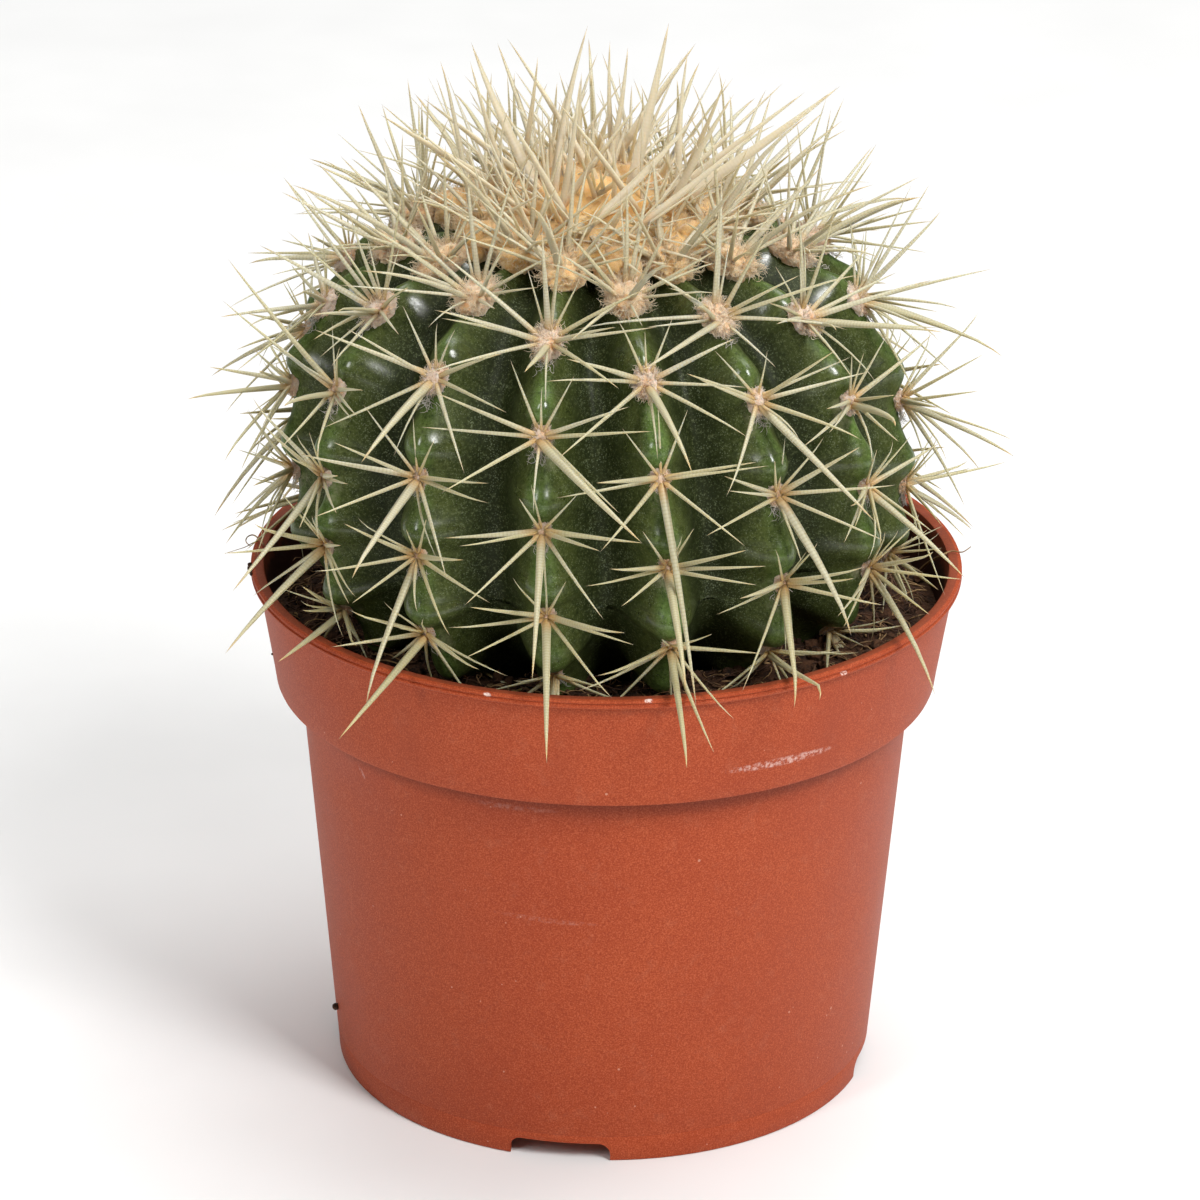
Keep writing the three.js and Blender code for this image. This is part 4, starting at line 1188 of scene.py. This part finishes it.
# %% [markdown]
# ## The crown
# At the growing point the youngest areoles stand shoulder to shoulder. Their wool runs together into a wide
# low mat with a golden dome in its middle, and a ring of tufts joins it to the first areoles of the ribs.

# %% Places in the crown
CROWN_MAT_RADIUS = 21
CROWN_MAT_HEIGHT = 4
CROWN_DOME_RADIUS = 13
CROWN_DOME_HEIGHT = 7.5
crown_top = STEM_PLACE + UP * (STEM_WAIST + CROWN_RISE)


def crown_rise(radius):
    """The height of the crown's wool over the skin."""
    mat = CROWN_MAT_HEIGHT * math.sqrt(max(0, 1 - (radius / CROWN_MAT_RADIUS) ** 2))
    return max(mat, CROWN_DOME_HEIGHT * math.sqrt(max(0, 1 - (radius / CROWN_DOME_RADIUS) ** 2)))


def crown_place(draw, reach):
    """A random place over the crown's wool, and the direction away from its middle."""
    angle, radius = draw.uniform(0, 2 * math.pi), reach * math.sqrt(draw.random())
    away = FRONT * math.cos(angle) + RIGHT * math.sin(angle)
    return crown_top + away * radius + UP * crown_rise(radius), away, radius


# %% Crown wool
MAT_AGE = 0.06
WHOLE_FELT = 1.0
CROWN_FIBRES = 2600
CROWN_FIBRE_LEAN = 0.8
CROWN_FIBRE_LENGTH = (1.2, 2.8)
MAT_FIBRE_AGE = 0.08
FIBRE_DEPTH = 0.8
TUFT_SIZE = (4, 4.6, 3.8)
TUFT_STEPS = (15, 7.5)
TUFT_NEAREST = 8
TUFT_FLUFF = 100
TUFT_AGE = 0.12

draw = random.Random(500)
mat = (CROWN_MAT_RADIUS, CROWN_MAT_RADIUS, CROWN_MAT_HEIGHT)
dome = (CROWN_DOME_RADIUS, CROWN_DOME_RADIUS, CROWN_DOME_HEIGHT)
copies = [tuft_copy(crown_top, UP, FRONT, RIGHT, *mat, 7, MAT_AGE, WHOLE_FELT),
          tuft_copy(crown_top, UP, FRONT, RIGHT, *dome, 23, 0, WHOLE_FELT)]
for _ in range(CROWN_FIBRES):
    foot, away, radius = crown_place(draw, CROWN_MAT_RADIUS)
    lean = Vector((draw.gauss(0, CROWN_FIBRE_LEAN), draw.gauss(0, CROWN_FIBRE_LEAN), 1)).normalized()
    age = 0 if radius < CROWN_DOME_RADIUS else MAT_FIBRE_AGE
    length = draw.uniform(*CROWN_FIBRE_LENGTH)
    copies.append(curl(foot - UP * FIBRE_DEPTH, lean, length, FIBRE_THICKNESS, draw, age))
for rib in range(RIBS):
    for distance in [areoles[rib][0] - step for step in TUFT_STEPS]:
        if distance > TUFT_NEAREST:
            spot = crest_frame(rib, distance)
            copies.append(tuft_copy(*spot, *TUFT_SIZE, draw.uniform(0, 99), TUFT_AGE))
            copies += fluff(*spot, *TUFT_SIZE, TUFT_FLUFF, draw, TUFT_AGE)
finish_piece(join(copies, "crown_wool"), golden_felt, "crown")

# %% [markdown]
# The crown's broad young spines are called blades here. Each ends where the photograph shows its tip against
# the background. The thin ones cross each other at all angles, and lean out more towards the edge, so that
# the golden wool shows between them. A row below has a blade's tip, its foot and its width.

# %% Crown blades
CROWN_BLADES = (
    ((471, 42), (540, 195), 1.9), ((507, 38), (600, 190), 1.3), ((588, 25), (553, 200), 1.5),
    ((610, 40), (616, 190), 1.1), ((628, 46), (603, 195), 1.3), ((669, 22), (628, 200), 2.0),
    ((696, 43), (600, 180), 1.9), ((688, 50), (680, 205), 1.2), ((840, 86), (680, 200), 1.9),
    ((805, 92), (676, 190), 1.3), ((734, 94), (668, 215), 1.4), ((470, 61), (510, 195), 1.1),
    ((424, 99), (545, 195), 1.6), ((381, 115), (505, 190), 1.7), ((538, 56), (520, 180), 1.1),
    ((726, 79), (678, 190), 1.1), ((408, 122), (530, 215), 1.1), ((783, 83), (650, 210), 1.2),
    ((556, 100), (640, 215), 1.3), ((580, 80), (560, 215), 1.1), ((700, 110), (590, 225), 1.4),
    ((500, 105), (570, 225), 1.3), ((645, 96), (560, 210), 1.2), ((760, 128), (640, 225), 1.3),
)
BLADE_LENGTH = 25
BLADE_FOOT = 5
BLADE_BROADER = 1.25
BLADE_THICKNESS = 0.7


def at_height(pixel, height):
    """The point at a height over the floor that shows in a pixel."""
    towards = sight(pixel)
    return EYE + towards * ((height - EYE.z) / towards.z)


draw = random.Random(700)
copies = []
for tip_pixel, foot_pixel, width in CROWN_BLADES:
    foot = at_height(foot_pixel, crown_top.z + BLADE_FOOT)
    tip = aimed(foot, UP, tip_pixel, BLADE_LENGTH)
    bow = RIGHT * draw.uniform(-0.8, 0.8)
    side = RIGHT + FRONT * draw.uniform(-0.6, 0.6)
    copies.append(bent_copy(needle, foot, tip, side, width * BLADE_BROADER, BLADE_THICKNESS, draw.random(), 0,
                            bow))

# %% Crown spines
CROWN_SPINES = 190
CROWN_REACH = 19.5
CROWN_DEPTH = 1.5
LEAN, LEAN_GROWS, LEAN_SPREAD, LEAN_MOST = 18, 2.8, 27, 84
ASIDE_SPREAD = 85
CROWN_LENGTH, LENGTH_GROWS = 7, 0.75
CROWN_WIDTHS = (0.5, 1.7)
CROWN_THICKNESSES = (0.4, 0.7)

for _ in range(CROWN_SPINES):
    foot, away, radius = crown_place(draw, CROWN_REACH)
    lean = math.radians(min(LEAN_MOST, abs(draw.gauss(LEAN + LEAN_GROWS * radius, LEAN_SPREAD))))
    aside = math.radians(draw.gauss(0, ASIDE_SPREAD))
    flat = away * math.cos(aside) + away.cross(UP) * math.sin(aside)
    length = (CROWN_LENGTH + LENGTH_GROWS * radius) * draw.uniform(0.7, 1.15)
    tip = foot + (UP * math.cos(lean) + flat * math.sin(lean)) * length
    bow = away * draw.uniform(-0.7, 0.7)
    side = away.cross(UP) + UP * 0.01
    copies.append(bent_copy(needle, foot - UP * CROWN_DEPTH, tip, side, draw.uniform(*CROWN_WIDTHS),
                            draw.uniform(*CROWN_THICKNESSES), draw.random(), 0, bow))
finish_piece(join(copies, "crown_spines"), straw_horn, "crown")

# %% [markdown]
# ## The peat
# Nursery peat is a dark, fibrous, crumbly soil. It fills the pot up to a finger's width under the rim, and
# is heaped a little against the stem. Its section is drawn and spun like the pot's, and then the upper
# surface is cut finer and pushed about by noise: clods first, then crumbs.

# %% The body of peat
PEAT_STEPS = 168
PEAT_TOP_RADIUS = 56.1
PEAT_RINGS = 26
PEAT_LEVEL = 81.6
PEAT_SURFACE = 81.3
PEAT_FINE = 30
PEAT_SMOOTH = 60

edge = [(0, BASE_TOP + 0.3), (44.6, BASE_TOP + 0.3), (50.3, 71.6), (54.4, 71.6), (PEAT_TOP_RADIUS, 81.2)]
top = [(PEAT_TOP_RADIUS * (1 - i / PEAT_RINGS), PEAT_LEVEL) for i in range(PEAT_RINGS + 1)]
peat = draw_wire("peat", edge + top)
spin_round(peat, PEAT_STEPS)
for face in peat.data.polygons:
    face.select = face.center.z > PEAT_SURFACE * MM and math.hypot(*face.center.xy) > PEAT_FINE * MM
edit(peat, "FACE", None)
bpy.ops.mesh.subdivide(number_cuts=1)
leave_edit()


# %% The surface of the peat
RELIEF = ((1.1, 7.0, 0), (0.75, 2.2, 50), (0.45, 0.9, 90))
CLEAR_OF_STEM = 0.4
UNDERSIDE_WIDTH = 0.9
FLAT_AT_WALL = 2
LEAST_RELIEF = 0.3


def peat_relief(x, y):
    """The height of the peat's surface: a slope, clods, crumbs and grains."""
    return float(soil_height(x, y)) + sum(
        rise * noise.noise(Vector((x, y, layer)) / size) for rise, size, layer in RELIEF)


def under_stem(x, y):
    """The height of the stem's underside at a place, or a large number outside it."""
    radius = math.hypot(x - STEM_PLACE.x, y - STEM_PLACE.y)
    share = min(1, radius / (STEM_RADIUS * UNDERSIDE_WIDTH))
    return STEM_WAIST - BASE_DROP * (1 - share ** BASE_POWER) ** (1 / BASE_POWER) if share < 1 else math.inf


for vertex in peat.data.vertices:
    x, y, z = vertex.co / MM
    if z > PEAT_SURFACE:
        near_wall = min(1, (PEAT_TOP_RADIUS - math.hypot(x, y)) / FLAT_AT_WALL)
        relief = PEAT_LEVEL + (peat_relief(x, y) - PEAT_LEVEL) * max(LEAST_RELIEF, near_wall)
        vertex.co.z = min(relief, under_stem(x, y) - CLEAR_OF_STEM) * MM
smooth(peat, PEAT_SMOOTH)
print("peat:", len(peat.data.polygons), "faces")

# %% [markdown]
# ### Crumbs, fibres and rootlets
# Loose crumbs, bits of fibre, broken spines and curled rootlets lie on the peat. The crumb is one small ico
# sphere with a few dozen faces, copied many times at different sizes, and squashed differently each time.
# The fibres are copies of the wool's fibre.

# %% Loose crumbs
CRUMBS = 900
CRUMB_LEAST, CRUMB_MORE = 0.25, 1.1
CRUMB_STRETCH = (0.7, 1.3)
CRUMB_UNEVEN = 0.35
CRUMB_LIFT = 0.35
OPEN_PEAT = (36, 55.2)
OFF_PEAT = 0.2

crumb = added("crumb", bpy.ops.mesh.primitive_ico_sphere_add, subdivisions=2, radius=1)
crumb_points = points_of(crumb)
dents = np.array([noise.noise(Vector(point) * 1.7) for point in crumb_points])
crumb_points *= (1 + CRUMB_UNEVEN * dents)[:, None]


def peat_place(draw):
    """A random place on the open peat between the stem and the wall."""
    while True:
        spot = around(math.degrees(draw.uniform(0, 2 * math.pi)), draw.uniform(*OPEN_PEAT))
        spot.z = peat_relief(spot.x, spot.y)
        if under_stem(spot.x, spot.y) > spot.z + OFF_PEAT:
            return spot


def crumb_copy(draw):
    size = CRUMB_LEAST + CRUMB_MORE * draw.random() ** 3
    turn = Matrix.Rotation(draw.uniform(0, 6.28), 3, (draw.uniform(-1, 1), draw.uniform(-1, 1), 0.3))
    stretch = Matrix.Diagonal([size * draw.uniform(*CRUMB_STRETCH) for _ in range(3)])
    points = crumb_points @ np.array(stretch @ turn) + np.array(peat_place(draw) + UP * (size * CRUMB_LIFT))
    return copy_of(crumb, points, tone=draw.random())


draw = random.Random(900)
crumbs = join([crumb_copy(draw) for _ in range(CRUMBS)], "peat_crumbs")

# %% Loose fibres
FIBRES = 1300
FIBRE_LENGTHS = (2, 8)
FIBRE_THICKNESSES = (0.14, 0.4)
FIBRE_LIFT = 0.25
OFF_WALL = 0.6
OFF_STEM = 0.6


def loose_fibre(draw, length, thickness):
    """A fibre that lies on the peat, turned back where it would reach the wall or the stem."""
    foot = peat_place(draw) + UP * FIBRE_LIFT
    angle = draw.uniform(0, 2 * math.pi)
    direction = Vector((math.cos(angle), math.sin(angle), draw.uniform(0, 0.5))).normalized()
    tip = foot + direction * length
    tip.z = max(tip.z, peat_relief(tip.x, tip.y) + OFF_PEAT)
    if math.hypot(tip.x, tip.y) > PEAT_TOP_RADIUS - OFF_WALL or float(over_crests([tip])[0]) < OFF_STEM:
        tip = foot + (foot - tip) * 0.4
        tip.z = peat_relief(tip.x, tip.y) + OFF_PEAT
    aside = direction.cross(UP).normalized()
    bow = aside * (length * draw.uniform(-0.3, 0.3)) + UP * (length * draw.uniform(0, 0.15))
    return bent_copy(fibre, foot, tip, aside, thickness, thickness, draw.random(), 1, bow)


draw = random.Random(901)
fibres = join([loose_fibre(draw, draw.uniform(*FIBRE_LENGTHS), draw.uniform(*FIBRE_THICKNESSES))
               for _ in range(FIBRES)], "peat_fibres")

# %% [markdown]
# Some rootlets hang over the rim, broken spines lie on the peat in front, and a few dark crumbs cling to the
# pot's outside. They are placed by the pixels in which they show. A rootlet is a path of five points, given a
# round section and turned into a mesh, as one would draw it by hand. Each row has the pixels of its points,
# their heights, and its thickness at both ends.

# %% Rootlets over the rim
ROOTLETS = (
    (((920, 570), (926, 564), (933, 559.5), (941, 555.5), (946, 553.5)),
     (82.4, 84, 86.5, 89.5, 91.0), 0.5, 0.4),
    (((943, 554.5), (951, 550), (960, 552.5), (965, 551.5), (971, 546.5)),
     (90.9, 91.1, 91.2, 91.4, 92.3), 0.3, 0.15),
    (((264, 545), (256, 534), (247, 536), (245, 543), (251, 546)),
     (91.0, 91.4, 91.6, 91.3, 91.0), 0.28, 0.16),
    (((258, 541), (252, 543), (246, 547), (236, 550), (225, 553.5)),
     (90.9, 91.2, 91.4, 91.8, 92.0), 0.22, 0.06),
)


def rootlet(pixels, heights, thick, thin):
    """A thin curved root through five points, from its thick end to its thin one."""
    bpy.ops.object.select_all(action="DESELECT")
    bpy.ops.curve.primitive_nurbs_path_add(radius=MM)
    path = bpy.context.object
    spline = path.data.splines[0]
    spline.order_u = 3
    for i, (point, pixel, height) in enumerate(zip(spline.points, pixels, heights)):
        point.co = (*(at_height(pixel, height) * MM), 1)
        point.radius = thick + (thin - thick) * i / (len(pixels) - 1)
    path.data.bevel_depth = MM / 2
    path.data.bevel_resolution = 1
    path.data.use_fill_caps = True
    bpy.ops.object.convert(target="MESH")
    keep_attribute(bpy.context.object.data, "tone", 0.8)
    return bpy.context.object


rootlets = join([rootlet(*row) for row in ROOTLETS], "peat_rootlets")
close_up(rootlets)
smooth(rootlets)

# %% Broken spines on the peat, and crumbs on the pot
BROKEN_SPINES = (((484, 674), (510, 687), 0.75), ((511, 694), (530, 688), 0.6), ((291, 577), (294, 584), 0.5),
                 ((302, 585), (318, 592), 0.4), ((456, 676), (462, 686), 0.35), ((588, 681), (600, 688), 0.35))
POT_CRUMBS = (((273, 654), 0.2), ((338, 1006), 0.62), ((251.5, 564.5), 0.42), ((252, 568), 0.5),
              ((252, 571), 0.42), ((252.5, 574), 0.3))
BROKEN_LIFT = 0.35
BROKEN_FLATTER = 0.7
CLINGS_AT = 0.6

bpy.context.view_layer.update()
copies = []
for *pixels, width in BROKEN_SPINES:
    foot, tip = [seen_on(peat, pixel) + UP * BROKEN_LIFT for pixel in pixels]
    aside = (tip - foot).cross(UP).normalized()
    copies.append(bent_copy(fibre, foot, tip, aside, width, width * BROKEN_FLATTER, 1, 1, aside * 0.2))
broken = join(copies, "broken_spines")

clinging = []
for pixel, size in POT_CRUMBS:
    place = seen_on(pot, pixel)
    away = Vector((place.x, place.y, 0)).normalized()
    clinging.append(copy_of(crumb, crumb_points * size + np.array(place + away * size * CLINGS_AT)))
crumbs = join([crumbs, *clinging], "peat_crumbs")

# %% [markdown]
# ### Peat
# Wet peat is nearly black and dry peat is a reddish brown, and both show at once: the tops of the crumbs are
# dry and the hollows are wet. It is quite matt. The fibres are paler, from brown to straw.

# %% Peat material
dark_peat, tree, shader, place, clods = new_material("sphagnum_peat", noises=((3, 6, 0.7),))
grit = add(tree, "TexVoronoi", Vector=place, Scale=per_mm(0.8))
colour = tinted(tree, linear(0x1F110A), (0x523521, (clods, 0.38, 0.6)), (0x86603C, (grit, 0, 0.25, 0.35, 0)))
relief = add(tree, "Math", clods, grit, operation="ADD")
bump = add(tree, "Bump", Height=relief, Strength=0.9, Distance=0.5 * MM)
fill(shader, {"Base Color": colour, "Roughness": 0.95, "Normal": bump, "IOR": 1.4})
finish_piece(peat, dark_peat, "soil")
finish_piece(crumbs, dark_peat, "soil")

# %% Fibre material
dry_fibre, tree, shader, place, own_tone, streaks = new_material(
    "dry_peat_fibre", attributes=("tone",), noises=((0.7, 3, 0.5),))
colour = tinted(tree, linear(0x50321F), (0xC09A68, (own_tone, 0.3, 1)), (0x3E281B, (streaks, 0.35, 0.65, 0, 0.5)))
fill(shader, {"Base Color": colour, "Roughness": 0.85, "IOR": 1.5})
finish_piece(fibres, dry_fibre, "soil")
finish_piece(rootlets, dry_fibre, "soil")
finish_piece(broken, straw_horn, "soil")

# %% [markdown]
# ## The roots
# The roots are inside the peat. Their CAD solid stays as it is and gets the finish of a corky root.

# %% Root material
corky_root, tree, shader, place, cork = new_material("corky_root_bark", noises=((1.5, 5, 0.7),))
colour = tinted(tree, linear(0x8A6A48), (0xC0A37A, (cork, 0.35, 0.65)))
bump = add(tree, "Bump", Height=cork, Strength=0.6, Distance=0.3 * MM)
fill(shader, {"Base Color": colour, "Roughness": 0.85, "Normal": bump, "IOR": 1.5})
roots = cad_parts["roots"]
roots.data.materials.clear()
roots.data.materials.append(corky_root)

# %% [markdown]
# ## Floor, light and view
# The photograph has a white background and soft light. A large softbox above and behind gives the bright
# background and most of the light, two small ones in front, at the right and at the left, give the
# highlights on the ribs, and a weak white sky fills the shadows. The floor is plain and pale.

# %% Models that were copied, and the floor
FLOOR_SIZE = 12

for model in (needle, tuft, fibre, crumb):
    bpy.data.objects.remove(model)
floor = added("floor", bpy.ops.mesh.primitive_plane_add, size=FLOOR_SIZE)
pale_floor, tree, shader, place, paper = new_material("pale_paper_floor", noises=((40, 2, 0.5),))
colour = tinted(tree, linear(0xEBEBEA), (0xEFEFEE, (paper, 0.3, 0.7)))
fill(shader, {"Base Color": colour, "Roughness": 0.9})
floor.data.materials.append(pale_floor)

# %% Lights
LIGHT_TARGET = Vector((0, 0, 0.09))
SKY_STRENGTH = 0.15


def area_light(name, azimuth, elevation, distance, width, height, power):
    """A soft light that looks at the plant from an azimuth and an elevation, in metres and watts."""
    rise = math.radians(elevation)
    from_target = around(azimuth, distance * math.cos(rise)) + UP * (distance * math.sin(rise))
    turn = from_target.to_track_quat("Z", "Y").to_euler()
    bpy.ops.object.light_add(type="AREA", location=LIGHT_TARGET + from_target, rotation=turn)
    light = bpy.context.object
    light.name = name
    light.data.shape = "RECTANGLE"
    light.data.size, light.data.size_y = width, height
    light.data.energy = power


area_light("right_softbox", azimuth=36, elevation=46, distance=1.2, width=0.3, height=0.45, power=11.5)
area_light("left_softbox", azimuth=-40, elevation=36, distance=1.2, width=0.18, height=0.45, power=3.0)
area_light("top_softbox", azimuth=150, elevation=70, distance=2.6, width=3.0, height=2.0, power=66)

world = bpy.data.worlds.new("white_studio")
bpy.context.scene.world = world
world.use_nodes = True
fill(world.node_tree.nodes["Background"], {"Color": linear(0xFFFFFF), "Strength": SKY_STRENGTH})
bpy.context.scene.view_settings.view_transform = "Standard"
